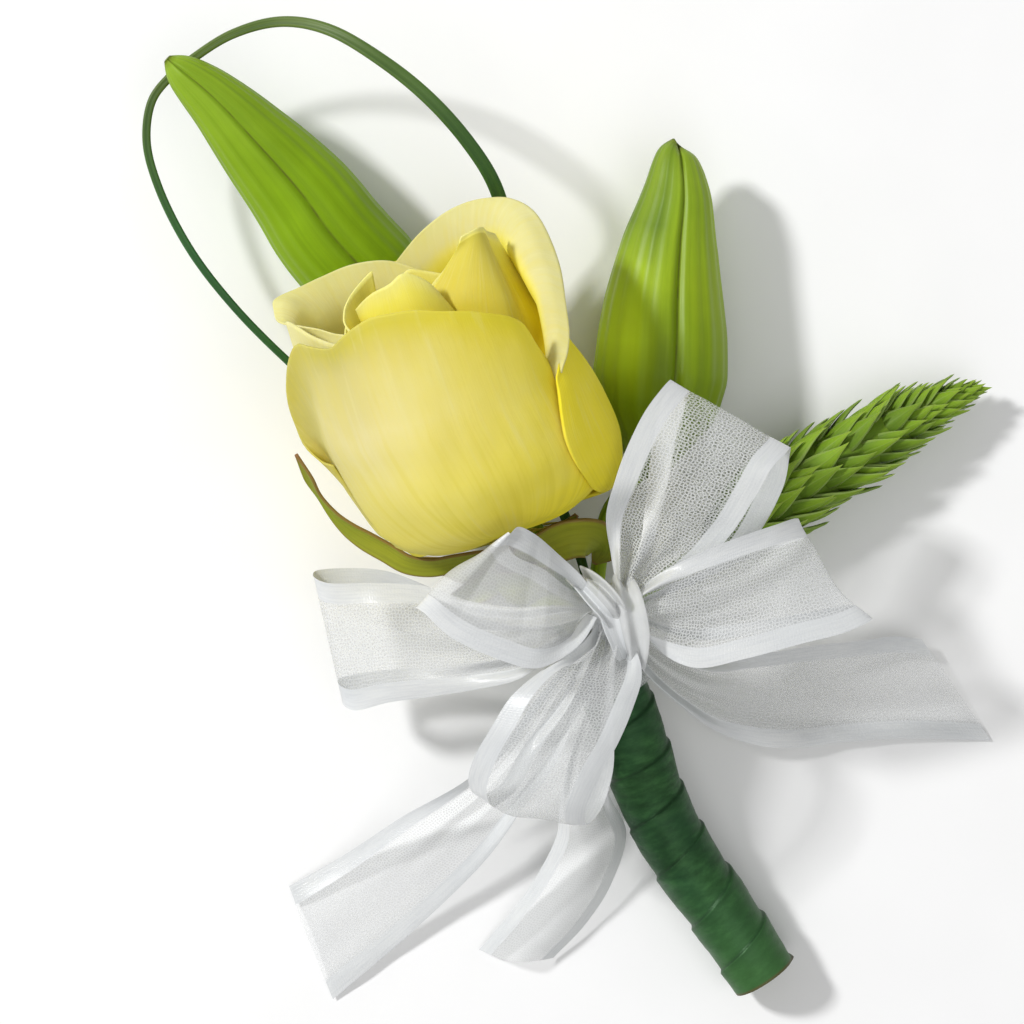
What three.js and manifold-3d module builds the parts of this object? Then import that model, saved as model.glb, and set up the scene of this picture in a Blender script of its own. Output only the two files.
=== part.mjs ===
import * as THREE from 'three';
import Module from 'manifold-3d';

const wasm = await Module();
wasm.setup();

// ---- driving dimensions, millimetres; +Z up, the corsage lies on its back on z = 0 ----
const CENTRE_SHIFT = new THREE.Vector3(-11.4, 1.6, 0); // brings the footprint's centre to the origin
const GAP = 0.3; // clear space between pieces that touch
const RIBBON_THICKNESS = 0.6;
const PETAL_THICKNESS = 0.8;
const TAPE_RADIUS = 6.3;
const TAPE_BORE = 5.6;
const TAPE_STEP = 0.3; // height of the step at each turn of the tape
const TAPE_PITCH = 8.5;
const ROSE_STEM_RADIUS = 2.1;
const BUD_STALK_RADIUS = 1.4;
const ROSE_BASE = new THREE.Vector3(-1, -9.5, 20);
const ROSE_TILT = 19.4; // degrees left of +Y, seen from above
const ROSE_LIFT = 20; // degrees above the table
const ROSE_HEIGHT = 60;
const BLOOM_BOTTOM = 5; // height of its underside
const ROSE_PRESS = 0.32; // share of the radius lost on the table side, at the rim
const ROSE_BEND = [[0, 2.5], [12, 2.5], [35, -0.8]]; // [height, how far its middle stands to the right]
const SEPAL_THICKNESS = 0.9;
const GRASS_THICKNESS = 0.76;
const BRACTS = 70;
const BRACT_LENGTH = 11;
const RIBBON_WIDTH = 22;
const PLEAT_LIMIT = 0.8;
const BAND_HALF_WIDTH = 3.5; // of the ribbon that holds the bow to the handle
const BAND_THICKNESS = 0.8;
const GOLDEN_ANGLE = Math.PI * (3 - Math.sqrt(5));

const UP = new THREE.Vector3(0, 0, 1);
const vec = (p) => new THREE.Vector3(p[0], p[1], p[2] ?? 0);
const curveOf = (points) => new THREE.CatmullRomCurve3(points.map(vec), false, 'centripetal');
const clamp = (x, low, high) => Math.min(high, Math.max(low, x));
const smooth = (x) => x * x * (3 - 2 * x);
const mix = (a, b, t) => a + (b - a) * t;

// A list of [position, value] pairs read as one piecewise linear function.
function ramp(pairs, t) {
  const last = pairs.length - 1;
  if (t <= pairs[0][0]) return pairs[0][1];
  for (let i = 1; i <= last; i++) {
    if (t <= pairs[i][0]) {
      const share = (t - pairs[i - 1][0]) / (pairs[i][0] - pairs[i - 1][0]);
      return mix(pairs[i - 1][1], pairs[i][1], share);
    }
  }
  return pairs[last][1];
}

// ---- solids ----
function solid(points, triangles) {
  const build = (faces) =>
    new wasm.Manifold(
      new wasm.Mesh({
        numProp: 3,
        vertProperties: new Float32Array(points.flatMap((p) => [p.x, p.y, p.z])),
        triVerts: new Uint32Array(faces.flat()),
      }),
    );
  const made = build(triangles);
  if (made.volume() > 0) return made;
  return build(triangles.map(([a, b, c]) => [a, c, b]));
}

// A skin over rings of equal count, closed at both ends by a fan to the ring's centre.
function loft(rings) {
  const sides = rings[0].length;
  const points = rings.flat();
  const triangles = [];
  for (let i = 0; i < rings.length - 1; i++) {
    for (let j = 0; j < sides; j++) {
      const a = i * sides + j;
      const b = i * sides + ((j + 1) % sides);
      triangles.push([a, b, a + sides], [b, b + sides, a + sides]);
    }
  }
  for (const [ring, first] of [[rings[0], 0], [rings.at(-1), (rings.length - 1) * sides]]) {
    const centre = ring.reduce((sum, p) => sum.add(p), new THREE.Vector3()).divideScalar(sides);
    points.push(centre);
    for (let j = 0; j < sides; j++) {
      const fan = [first + j, first + ((j + 1) % sides), points.length - 1];
      triangles.push(first === 0 ? [fan[1], fan[0], fan[2]] : fan);
    }
  }
  return solid(points, triangles);
}

// A thin sheet of even thickness round surface(u, v), with u and v from 0 to 1.
// Both faces are split along the same diagonals.
function slab(surface, columns, rows, thickness) {
  const step = 1e-3;
  const faces = [[], []];
  for (let i = 0; i <= columns; i++) {
    for (let j = 0; j <= rows; j++) {
      const u = i / columns;
      const v = j / rows;
      const alongU = surface(u + step, v).sub(surface(u - step, v));
      const alongV = surface(u, v + step).sub(surface(u, v - step));
      const normal = alongU.cross(alongV).normalize().multiplyScalar(thickness / 2);
      faces[0].push(surface(u, v).add(normal));
      faces[1].push(surface(u, v).sub(normal));
    }
  }
  const count = faces[0].length;
  const at = (i, j) => i * (rows + 1) + j;
  const triangles = [];
  for (let i = 0; i < columns; i++) {
    for (let j = 0; j < rows; j++) {
      const [a, b, c, d] = [at(i, j), at(i + 1, j), at(i + 1, j + 1), at(i, j + 1)];
      triangles.push([a, b, c], [a, c, d]);
      triangles.push([a + count, c + count, b + count], [a + count, d + count, c + count]);
    }
  }
  const rim = [];
  for (let i = 0; i < columns; i++) rim.push([at(i, 0), at(i + 1, 0)]);
  for (let j = 0; j < rows; j++) rim.push([at(columns, j), at(columns, j + 1)]);
  for (let i = columns; i > 0; i--) rim.push([at(i, rows), at(i - 1, rows)]);
  for (let j = rows; j > 0; j--) rim.push([at(0, j), at(0, j - 1)]);
  for (const [a, b] of rim) triangles.push([a, a + count, b], [b, a + count, b + count]);
  return solid(faces.flat(), triangles);
}

function fromGeometry(geometry) {
  const position = geometry.toNonIndexed().getAttribute('position');
  const index = new Map();
  const points = [];
  const corners = [];
  for (let i = 0; i < position.count; i++) {
    const p = new THREE.Vector3().fromBufferAttribute(position, i);
    const key = p.toArray().map((x) => x.toFixed(4)).join();
    if (!index.has(key)) index.set(key, points.push(p) - 1);
    corners.push(index.get(key));
  }
  const triangles = [];
  for (let i = 0; i < corners.length; i += 3) triangles.push(corners.slice(i, i + 3));
  return solid(points, triangles);
}

const TABLE_SIZE = 400;
const table = fromGeometry(
  new THREE.BoxGeometry(TABLE_SIZE, TABLE_SIZE, 20).translate(0, 0, -10),
);
const unite = (solids) => solids.reduce((sum, s) => sum.add(s));
const without = (made, others) => others.reduce((rest, s) => rest.subtract(s), made);
// The largest body above the table; the loose scraps that cutting leaves are dropped.
function largest(made) {
  const bodies = made.subtract(table).decompose();
  return bodies.reduce((best, b) => (b.volume() > best.volume() ? b : best));
}

// ---- frames along a path ----
function frameAt(curve, t) {
  const ahead = curve.getPoint(clamp(t + 1e-3, 0, 1));
  const tangent = ahead.sub(curve.getPoint(clamp(t - 1e-3, 0, 1))).normalize();
  const side = tangent.clone().cross(UP).normalize();
  const up = side.clone().cross(tangent).normalize();
  return { point: curve.getPoint(t), tangent, side, up };
}

// Rings across a path; section(t, angle) gives [sideways, upwards] in the ring's plane.
function sweep(curve, stations, sides, section) {
  const rings = [];
  for (const t of stations) {
    const { point, side, up } = frameAt(curve, t);
    const ring = [];
    for (let j = 0; j < sides; j++) {
      const [a, b] = section(t, (2 * Math.PI * j) / sides);
      ring.push(point.clone().addScaledVector(side, a).addScaledVector(up, b));
    }
    rings.push(ring);
  }
  return loft(rings);
}

const evenly = (count, from = 0, to = 1) =>
  Array.from({ length: count + 1 }, (_, i) => mix(from, to, i / count));
const round = (radius) => (t, angle) => [radius * Math.cos(angle), radius * Math.sin(angle)];

// ---- the handle: stems side by side inside the wrapped tape ----
const handle = curveOf([
  [45.5, -83.5, 5.9],
  [38.5, -73, 6.9],
  [30.5, -61.5, 9],
  [25, -51, 10.8],
  [21.5, -40.5, 13],
  [17.5, -30, 15.4],
  [14, -21.5, 17.3],
]);
const TAPE_TOP = 0.94;

// Where a stem that lies at [sideways, upwards] in the handle passes, from the cut end to the tape's top.
function insideHandle(sideways, upwards) {
  return evenly(5, 0, TAPE_TOP).map((t) => {
    const { point, side, up } = frameAt(handle, t);
    return point.addScaledVector(side, sideways).addScaledVector(up, upwards).toArray();
  });
}

function tapeRadius(t, angle) {
  const length = t * handle.getLength();
  const turn = (length / TAPE_PITCH + angle / (2 * Math.PI)) % 1;
  return TAPE_RADIUS - TAPE_STEP + TAPE_STEP * turn;
}

function makeTape() {
  const outer = sweep(handle, evenly(26, 0, TAPE_TOP), 14, (t, angle) => {
    const radius = tapeRadius(t, angle);
    return [radius * Math.cos(angle), radius * Math.sin(angle)];
  });
  const bore = sweep(handle, evenly(8, 0, TAPE_TOP), 12, round(TAPE_BORE));
  const { point: end, tangent: endwards } = frameAt(handle, 0);
  const { point: top, tangent: topwards } = frameAt(handle, TAPE_TOP);
  const plug = (middle, along) => {
    const before = middle.clone().addScaledVector(along, -1);
    const after = middle.clone().addScaledVector(along, 1);
    return sweep(new THREE.LineCurve3(before, after), [0, 1], 12, round(TAPE_BORE));
  };
  return without(outer, [bore, plug(end, endwards), plug(top, topwards)]);
}

// ---- rose ----
const tilt = THREE.MathUtils.degToRad(ROSE_TILT);
const lift = THREE.MathUtils.degToRad(ROSE_LIFT);
const roseAxis = new THREE.Vector3(
  -Math.sin(tilt) * Math.cos(lift),
  Math.cos(tilt) * Math.cos(lift),
  Math.sin(lift),
);
const roseRight = new THREE.Vector3(Math.cos(tilt), Math.sin(tilt), 0);
const roseFront = roseRight.clone().cross(roseAxis);

// A point in the rose's own frame: azimuth in degrees (0 faces up, 90 to the right), radius and height.
// The side towards the table is pressed flatter, more so towards the opening.
function inRose(azimuth, radius, height) {
  const angle = THREE.MathUtils.degToRad(azimuth);
  const below = Math.max(0, -Math.cos(angle));
  const pressed = radius * (1 - (ROSE_PRESS * below * height) / ROSE_HEIGHT);
  const aside = ramp(ROSE_BEND, height);
  return ROSE_BASE.clone()
    .addScaledVector(roseRight, radius * Math.sin(angle) + aside)
    .addScaledVector(roseFront, pressed * Math.cos(angle))
    .addScaledVector(roseAxis, height);
}

// One petal. profile: [radius, height] from root to rim at its middle. spread: half its width in
// degrees, from root to rim. droop: how far the rim falls towards its left and right edges. tip: how
// far a point stands out in the middle of the rim. wave: height of the ripples along the rim.
function petalSurface({ azimuth, profile, spread, droop, tip = 0, wave = 0 }) {
  const curve = curveOf(profile);
  const last = spread.length - 1;
  return (u, v) => {
    const across = 2 * u - 1;
    const at = curve.getPoint(clamp(v, 0, 1));
    const half = ramp(spread.map((s, i) => [i / last, s]), v);
    const edge = smooth(clamp(v, 0, 1));
    const fall = 1 - (droop[across < 0 ? 0 : 1] * edge * across * across) / at.y;
    const point = tip * edge * Math.max(0, 1 - Math.abs(across) * 3);
    const ripple = wave * edge * Math.sin(across * 5 + azimuth);
    return inRose(azimuth + half * across, at.x + ripple + point, at.y * fall + point);
  };
}

const outerPetals = [
  { azimuth: -22,
    profile: [[3, 6.5], [9, 8], [14.5, 12], [20.5, 17], [24, 24], [25.2, 33], [25, 43], [24.5, 52],
      [24.6, 58]],
    spread: [40, 66, 76, 76, 66], droop: [9, 15], wave: 0.5 },
  { azimuth: 90,
    profile: [[3, 6], [11, 7.2], [19, 9.8], [23.4, 15], [25.2, 20], [25.8, 26], [25.2, 32], [23.4, 40]],
    spread: [30, 40, 50, 50, 40], droop: [8, 5] },
  { azimuth: 178,
    profile: [[3, 5], [11, 6], [18, 9.5], [21, 18], [22, 30], [22, 41], [22.8, 51], [23.6, 55]],
    spread: [40, 62, 68, 66, 58], droop: [8, 8], wave: 0.6 },
  { azimuth: -98,
    profile: [[3, 4.5], [10, 5.5], [16.5, 7.5], [20.5, 12.5], [22.2, 20], [22.6, 30], [22.6, 42], [21.6, 53]],
    spread: [30, 48, 52, 50, 34], droop: [9, 5] },
  { azimuth: 124,
    profile: [[3, 7], [10, 9], [17, 14], [20.5, 24], [20.8, 40], [20.5, 52], [23, 58], [26, 58.5]],
    spread: [30, 60, 70, 72, 74, 74], droop: [20, 8] },
  { azimuth: -112,
    profile: [[3, 7], [10, 9], [16, 14], [20, 24], [20, 40], [19, 49], [21, 55], [23.5, 55.5]],
    spread: [30, 60, 70, 72, 70, 62], droop: [9, 8], tip: 2 },
];

const innerPetals = [
  { azimuth: 48, profile: [[4, 12], [13, 22], [17, 36], [16, 48], [13.5, 58]], spread: [50, 52, 50, 36],
    droop: [9, 9] },
  { azimuth: 172, profile: [[4, 12], [13, 22], [16.5, 36], [15, 48], [14, 56]], spread: [50, 60, 60, 50],
    droop: [6, 6] },
  { azimuth: -62, profile: [[4, 12], [13, 22], [16.5, 36], [15.5, 48], [13, 54]], spread: [50, 60, 58, 46],
    droop: [6, 6] },
  { azimuth: 110, profile: [[3, 20], [10, 30], [11.5, 44], [9.5, 55]], spread: [60, 64, 50], droop: [5, 5] },
  { azimuth: -20, profile: [[3, 20], [10, 30], [11, 44], [8, 55.5]], spread: [60, 64, 50], droop: [5, 5] },
  { azimuth: -130, profile: [[3, 20], [10, 30], [11, 44], [8.5, 55]], spread: [60, 64, 50], droop: [5, 5] },
  { azimuth: 30, profile: [[2, 30], [5.5, 40], [4, 55]], spread: [70, 70], droop: [3, 3] },
  { azimuth: 200, profile: [[2, 30], [5.5, 40], [4, 55]], spread: [70, 70], droop: [3, 3] },
];

const ROUND = evenly(13, 0, 334); // azimuths of the fourteen corners of a ring

function makeBloom(clearance = 0) {
  const thickness = PETAL_THICKNESS + 2 * clearance;
  const outer = outerPetals.map((petal) => slab(petalSurface(petal), 9, 7, thickness));
  const inner = innerPetals.map((petal) => slab(petalSurface(petal), 6, 4, thickness));
  const coreProfile = curveOf([[0.4, BLOOM_BOTTOM], [9, 8], [14, 13], [17, 24], [15, 36], [9, 46], [3, 52]]);
  const core = evenly(7).map((t) => {
    const at = coreProfile.getPoint(t);
    return ROUND.map((azimuth) => inRose(azimuth, at.x + clearance, at.y));
  });
  return unite([loft(core), ...outer, ...inner]);
}

// A sepal along a path; widths holds [t, half width] pairs, and turn is its twist in degrees.
function sepal(points, widths, stations, turn = 0) {
  const twist = THREE.MathUtils.degToRad(turn);
  const section = (t, angle) => {
    const a = ramp(widths, t) * Math.cos(angle);
    const b = (SEPAL_THICKNESS / 2) * Math.sin(angle);
    return [a * Math.cos(twist) - b * Math.sin(twist), a * Math.sin(twist) + b * Math.cos(twist)];
  };
  return sweep(curveOf(points), evenly(stations), 6, section);
}

// [height, radius] of the swelling below the bloom
const HIP = [[-9, 1.6], [-6, 4.4], [-3, 5.4], [1, 5], [5, 4.6]];

function makeCalyx() {
  const stem = curveOf([...insideHandle(0, 2.9), [9, -17.5, 20.5], [4, -15, 19.5], [0.5, -11.8, 18.8]]);
  const hip = evenly(6, -9, BLOOM_BOTTOM - GAP).map((height) =>
    ROUND.map((azimuth) => inRose(azimuth, ramp(HIP, height), height)),
  );
  const long = sepal(
    [[0, -8, 18.5], [-5, -8.2, 20], [-10, -8.8, 21], [-14.2, -9.5, 21.8], [-18.3, -8.9, 22.3],
      [-21.8, -6.9, 22.8], [-25.3, -4.9, 23.5], [-28.1, -3.1, 24.3], [-30.7, -0.8, 25.2],
      [-33.6, 3, 26.8], [-35.3, 6.1, 28], [-37.4, 10, 29]],
    [[0, 2.4], [0.2, 2], [0.55, 1.9], [0.73, 1.1], [0.81, 0.7], [0.9, 1.1], [1, 0.35]], 14, 35);
  const folded = sepal(
    [[0.5, -9.5, 19], [5.5, -6.5, 25.5], [10, -4.5, 28], [14, -4.5, 26.5], [16, -6.5, 23], [14.5, -9, 20.5]],
    [[0, 2.4], [0.35, 3.6], [0.6, 3.8], [0.85, 2.2], [1, 0.4]], 8, -20);
  const underWidths = [[0, 2.6], [0.3, 2.4], [0.6, 1.5], [0.85, 0.9], [1, 0.35]];
  const under = [
    [[-1.5, -11, 16], [-6, -14, 13], [-10, -15.8, 10.5], [-13, -18.5, 9.5]],
    [[-2, -10, 15], [-8, -10.5, 12], [-13, -9.5, 10.5], [-17.5, -8.5, 10.5]],
    [[0.5, -8.5, 16], [5.5, -6, 14.5], [9, -3.5, 14], [11.5, -0.5, 14.5]],
  ].map((points) => sepal(points, underWidths, 5));
  return unite([sweep(stem, evenly(14), 8, round(ROSE_STEM_RADIUS)), loft(hip), long, folded, ...under]);
}

// ---- lily buds ----
// Three broad tepals meet in grooves; half widths run from the stalk (t = 0) to the tip (t = 1).
function budSection(widths, groove, turn) {
  return (t, angle) => {
    const lobe = Math.abs(Math.sin(1.5 * (angle - turn)));
    const radius = ramp(widths, t) * (1 - groove * (1 - smooth(clamp(lobe * 3, 0, 1))));
    return [radius * Math.cos(angle), radius * Math.sin(angle)];
  };
}

function makeBud(stalk, axis, widths, groove, turn, sides) {
  const stalkCurve = curveOf(stalk);
  const body = sweep(curveOf(axis), evenly(16), sides, budSection(widths, groove, turn));
  return unite([sweep(stalkCurve, evenly(16), 6, round(BUD_STALK_RADIUS)), body]);
}

const leftBudAxis = [
  [-13.5, 29, 2.6], [-18, 35, 5], [-24.5, 41, 9.2], [-31.5, 48.5, 11.8], [-37.5, 56.5, 14],
  [-45, 64.9, 17.2], [-52, 72.2, 20.4], [-60.3, 79.2, 23.5],
];
const leftBudWidths = [
  [0, 1.7], [0.08, 3.6], [0.2, 8.4], [0.31, 10.1], [0.42, 10], [0.5, 9.8], [0.57, 9.25], [0.68, 7.9],
  [0.8, 6.2], [0.9, 4.6], [0.95, 3.5], [0.98, 2.4], [1, 0.7],
];
const rightBudAxis = [
  [24.5, 6, 11.6], [25.5, 15.5, 11.7], [26.5, 25.5, 11.8], [27.1, 37.5, 12.4], [28, 47, 13.2],
  [29.1, 55.5, 14.2], [29.3, 65.4, 15.5],
];
const rightBudWidths = [
  [0, 2], [0.08, 5.5], [0.2, 10.6], [0.31, 12], [0.42, 11.5], [0.53, 10.3], [0.69, 8.4], [0.845, 6.3],
  [0.93, 4.6], [0.97, 3.5], [0.99, 2.5], [1, 0.8],
];

// ---- grass blade ----
const grassPoints = [
  ...insideHandle(-4.2, 1.4),
  [5.5, -16.5, 12.5], [-3, -5, 7], [-15, 6.5, 3], [-29, 17.5, 5.5], [-39, 26, 11], [-49.2, 36.3, 14.5],
  [-57, 46.5, 16], [-62.5, 57.5, 17], [-64.5, 65.5, 17.5], [-63.5, 72.5, 18], [-60.5, 76.5, 18.3],
  [-56.5, 79.5, 19.5], [-49, 83.5, 23], [-40, 85, 28], [-31.5, 83, 32], [-21.8, 77.1, 34], [-13.8, 71.3, 33],
  [-7, 64.4, 29], [-2.3, 57.4, 24], [0, 46.5, 14], [2, 36, 8], [3.5, 22, 3.6], [6.5, 7.5, 4.2],
  [12.5, -9, 10.5],
  ...insideHandle(0.4, -0.6).reverse(),
];

function makeGrass() {
  const widths = [[0, 0.55], [0.3, 0.7], [0.5, 0.8], [0.62, 1.2], [0.75, 1.3], [0.84, 0.8], [1, 0.55]];
  return sweep(curveOf(grassPoints), evenly(72), 6, (t, angle) => [
    ramp(widths, t) * Math.cos(angle),
    (GRASS_THICKNESS / 2) * Math.sin(angle),
  ]);
}

// ---- ornithogalum spike ----
const spikeAxis = [
  [36, -5.5, 9.4], [41.5, -1.5, 9.2], [51.5, 5.5, 9], [65.5, 13.5, 8.6], [75.2, 18.7, 7.8], [82.6, 21.8, 7],
];
const spikeCore = [[0, 2], [0.1, 5.6], [0.25, 6.9], [0.45, 6.4], [0.65, 4.8], [0.85, 2.4], [1, 0.7]];

// One keeled, pointed bract as a six-cornered solid; its root is sunk in the spike's core.
function bract(frame, angle, radius, size) {
  const outward = frame.side.clone().multiplyScalar(Math.cos(angle));
  outward.addScaledVector(frame.up, Math.sin(angle));
  const sideways = frame.tangent.clone().cross(outward);
  const at = (along, out, aside) =>
    frame.point.clone().addScaledVector(frame.tangent, along * size)
      .addScaledVector(outward, radius + out * size)
      .addScaledVector(sideways, aside * size);
  const points = [
    at(-3, -1.6, 0), // root
    at(2, 0.4, 2.5),
    at(2, 0.4, -2.5),
    at(1.6, 2.4, 0), // keel
    at(2, -0.8, 0),
    at(BRACT_LENGTH - 3, 2.2, 0), // tip
  ];
  const triangles = [
    [0, 3, 1], [0, 1, 4], [0, 4, 2], [0, 2, 3],
    [5, 1, 3], [5, 4, 1], [5, 2, 4], [5, 3, 2],
  ];
  return solid(points, triangles);
}

function makeSpike() {
  const stem = curveOf([...insideHandle(0.3, -3.6), [20, -18, 12], [27.5, -11.5, 10.2], [36, -5.5, 9.9]]);
  const axis = curveOf(spikeAxis);
  const bracts = [];
  for (let i = 0; i < BRACTS; i++) {
    const t = 0.06 + 0.9 * (i / (BRACTS - 1)) ** 0.9;
    const size = ramp([[0, 1.05], [0.5, 1], [0.85, 0.7], [1, 0.42]], t);
    bracts.push(bract(frameAt(axis, t), i * GOLDEN_ANGLE, ramp(spikeCore, t), size));
  }
  const core = sweep(axis, evenly(10), 10, (t, angle) => {
    const radius = ramp(spikeCore, t);
    return [radius * Math.cos(angle), radius * Math.sin(angle)];
  });
  return unite([sweep(stem, evenly(14), 6, round(BUD_STALK_RADIUS)), core, ...bracts]);
}

// ---- ribbon bow ----
// Each strip runs between two edge lines, given as stations [first edge, second edge], and is
// gathered in small pleats wherever the edges come closer than the ribbon's width. folds: pleats
// side by side. arch: 0 keeps it flat between its edges, 1 lets it rise in one hump. margin: how far
// it reaches past both edges.
function ribbonSurface(stations, folds, arch, margin) {
  const first = curveOf(stations.map((s) => s[0]));
  const second = curveOf(stations.map((s) => s[1]));
  const flat = (s, w) => first.getPoint(s).lerp(second.getPoint(s), w);
  return (u, v) => {
    const s = clamp(u, 0, 1);
    const chord = first.getPoint(s).distanceTo(second.getPoint(s));
    const w = v + (margin * (2 * v - 1)) / chord;
    const along = flat(clamp(s + 2e-3, 0, 1), v).sub(flat(clamp(s - 2e-3, 0, 1), v));
    const across = second.getPoint(s).sub(first.getPoint(s));
    const normal = along.cross(across).normalize();
    const spare = Math.sqrt(Math.max(0, RIBBON_WIDTH ** 2 - chord ** 2));
    const open = arch * smooth(clamp((chord - 5) / 7, 0, 1));
    const depth = Math.min(PLEAT_LIMIT, chord / 6) * smooth(clamp((19 - chord) / 6, 0, 1));
    const pleat = Math.cos(2 * Math.PI * folds * v) * depth;
    const hump = Math.sin(Math.PI * clamp(v, 0, 1)) * (spare / 4);
    return flat(s, w).addScaledVector(normal, mix(pleat, hump, open));
  };
}

// rows: mesh rows across the ribbon, two for each pleat.
const strips = {
  bow_loop_down: { rows: 6, stations: [
    [[14.5, -20, 34.5], [18, -20.5, 34.5]], [[11.5, -23.5, 37], [21, -24, 37.5]],
    [[5.5, -26.5, 40], [22, -28, 40.5]], [[0, -31, 42], [20.5, -33, 42]],
    [[-3.5, -36.5, 41.5], [18, -39, 41.5]], [[-6.5, -42, 39.5], [15, -44.5, 39.5]],
    [[-7.5, -46.5, 36], [12.5, -51, 36.5]], [[-6, -49, 33], [13, -53.5, 33]],
    [[-2, -47, 30.5], [15.5, -51, 30.5]], [[2, -40.5, 29.6], [17.5, -44.5, 29.6]],
    [[8.5, -32.5, 30], [17.5, -35, 30]], [[15, -20.5, 31.6], [18, -21, 31.6]]] },
  bow_loop_front: { rows: 6, stations: [
    [[13.5, -14.5, 37], [13.5, -18, 36.6]], [[10.5, -10, 40], [10, -23.5, 39]],
    [[6.5, -6, 44], [4.5, -26.5, 41]], [[3.5, -3.5, 47.5], [-2, -25, 42.4]],
    [[1, -2.5, 49.5], [-10.5, -21, 43.2]], [[-0.5, -3.5, 50], [-15, -17, 42.8]],
    [[-1, -4.5, 48], [-16.5, -16, 40.5]], [[0.5, -7.5, 44.5], [-14, -17, 38.2]],
    [[5.5, -10, 40.5], [-6.5, -20, 36.6]], [[10, -13.5, 37], [5, -20.5, 35.4]],
    [[13.5, -14.5, 34.4], [13.5, -18, 34.2]]] },
  bow_loop_upper: { rows: 6, stations: [
    [[18, -13.5, 34.3], [20.5, -15, 33.8]], [[17, -8, 36], [25, -12.5, 34.4]],
    [[16, -0.5, 38.8], [33, -8.5, 35.8]], [[17.5, 5.5, 40.8], [37.5, -3.5, 38]],
    [[19.5, 11, 41.6], [41.5, 3, 40]], [[22.5, 17, 41], [44, 7.5, 41]],
    [[25.5, 21, 39.3], [46.5, 10, 39.3]], [[27, 22.5, 37.3], [47.5, 11, 37.3]],
    [[26.5, 21, 35], [47.5, 9.5, 35]], [[24.5, 14, 32.8], [46.5, 4, 33]],
    [[23, 2, 31.4], [40.5, -6, 31.6]], [[22, -5.5, 31], [32.5, -10.5, 31]],
    [[18, -14, 31.2], [20.5, -15, 31.2]]] },
  bow_loop_right: { rows: 6, stations: [
    [[20.5, -14.5, 36.2], [21, -19.5, 35]], [[24.5, -11, 37.8], [24, -23, 35.6]],
    [[33, -6.5, 39.6], [31, -26.5, 37.4]], [[39.5, -4, 39.6], [39.5, -25, 38]],
    [[45.5, -2, 38.2], [49, -22.5, 37.6]], [[48.5, -1, 36], [57, -20.5, 36.6]],
    [[49.5, -1, 34], [61.5, -18.5, 34.3]], [[48.5, -1.5, 32], [60.5, -18.5, 31.8]],
    [[43, -4, 29.9], [52.5, -20, 29.7]], [[36, -7.5, 28.6], [44, -21, 28.6]],
    [[28.5, -12, 28], [31, -22, 28]], [[21, -15.5, 28.3], [21, -18.5, 28.3]]] },
  bow_loop_left: { rows: 6, stations: [
    [[13.5, -16.5, 30.6], [13.5, -19.5, 30.4]], [[8.5, -16, 28.8], [8.5, -24, 28.4]],
    [[1.5, -16.5, 26], [1.5, -29, 25.4]], [[-7.5, -15.5, 22.5], [-6, -31, 22]],
    [[-15.5, -13, 20], [-14.5, -32.5, 20]], [[-25, -12.5, 19], [-21.5, -33.5, 18.8]],
    [[-32.5, -12.5, 18.3], [-27.5, -35, 18]], [[-35, -11.5, 16.4], [-29.5, -34.5, 16.2]],
    [[-35, -10.5, 13.8], [-30, -33.5, 13.6]], [[-30.5, -10, 11.8], [-26.5, -32.5, 11.6]],
    [[-22.5, -10.5, 11], [-20, -31.5, 11]], [[-13, -14, 13], [-12, -30.5, 13]],
    [[-2, -18.5, 19], [-2, -27.5, 18.6]], [[6.5, -17.5, 24.5], [6, -24.5, 24]],
    [[13.5, -16.5, 27.8], [13.5, -20, 27.6]]] },
  bow_tail_left: { rows: 4, stations: [
    [[14, -19.5, 25.8], [15.5, -21.5, 25.8]], [[10.5, -25, 24.6], [14.5, -28, 25]],
    [[5, -32, 20.5], [11.5, -35.5, 21.5]], [[-1, -40, 16.5], [8, -44, 17]],
    [[-7.5, -47, 12], [3, -51, 13]], [[-20, -55, 6.5], [-4, -61.5, 8]],
    [[-31, -62.5, 2.5], [-16.5, -74.5, 3]], [[-40.5, -68, 0.4], [-32.5, -88.5, 0.4]]] },
  bow_tail_middle: { rows: 6, arch: 1, stations: [
    [[16.5, -21, 26], [18, -21.5, 26]], [[15.5, -26.5, 25.6], [18, -27, 25.6]],
    [[13.5, -33, 24], [16.5, -33.5, 24]], [[10.5, -42, 19], [16, -43, 19]],
    [[8.5, -51.5, 12], [17.5, -50.5, 13]], [[8, -58, 7.5], [20.5, -57.5, 8]],
    [[4, -66.5, 3.6], [18, -67, 4]], [[-1, -73.5, 1.8], [13.5, -74.5, 1.8]],
    [[-6, -79.5, 0.4], [7.5, -81, 0.4]]] },
  bow_tail_right: { rows: 4, stations: [
    [[20.5, -19, 26.2], [19.5, -20.5, 26.2]], [[25, -22.5, 23.5], [23, -27.5, 22.5]],
    [[34, -26, 16.5], [30, -34.5, 15]], [[44, -25.5, 12], [38, -40, 8.5]],
    [[54.5, -24, 9], [48.5, -42.5, 4.5]], [[64.5, -23, 6], [61, -41.5, 2.2]],
    [[68.5, -22.5, 5], [73, -41, 1.2]], [[74, -23, 4], [87, -41.5, 0.4]]] },
};

function makeStrip({ stations, rows, arch = 0 }, clearance = 0) {
  const columns = Math.round(stations.length * 1.5);
  const surface = ribbonSurface(stations, rows / 2, arch, clearance);
  return slab(surface, columns, rows, RIBBON_THICKNESS + 2 * clearance);
}

// The knot stands on a band of ribbon that goes round the taped handle.
const BAND_AT = 0.87; // its place along the handle, as a share of the handle's length
const BAND_RIPPLE = 0.25;
const KNOT_BOTTOM = new THREE.Vector3(16.4, -19.5, 22.6);
const KNOT_TOP = new THREE.Vector3(17, -17, 37.8);

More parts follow.
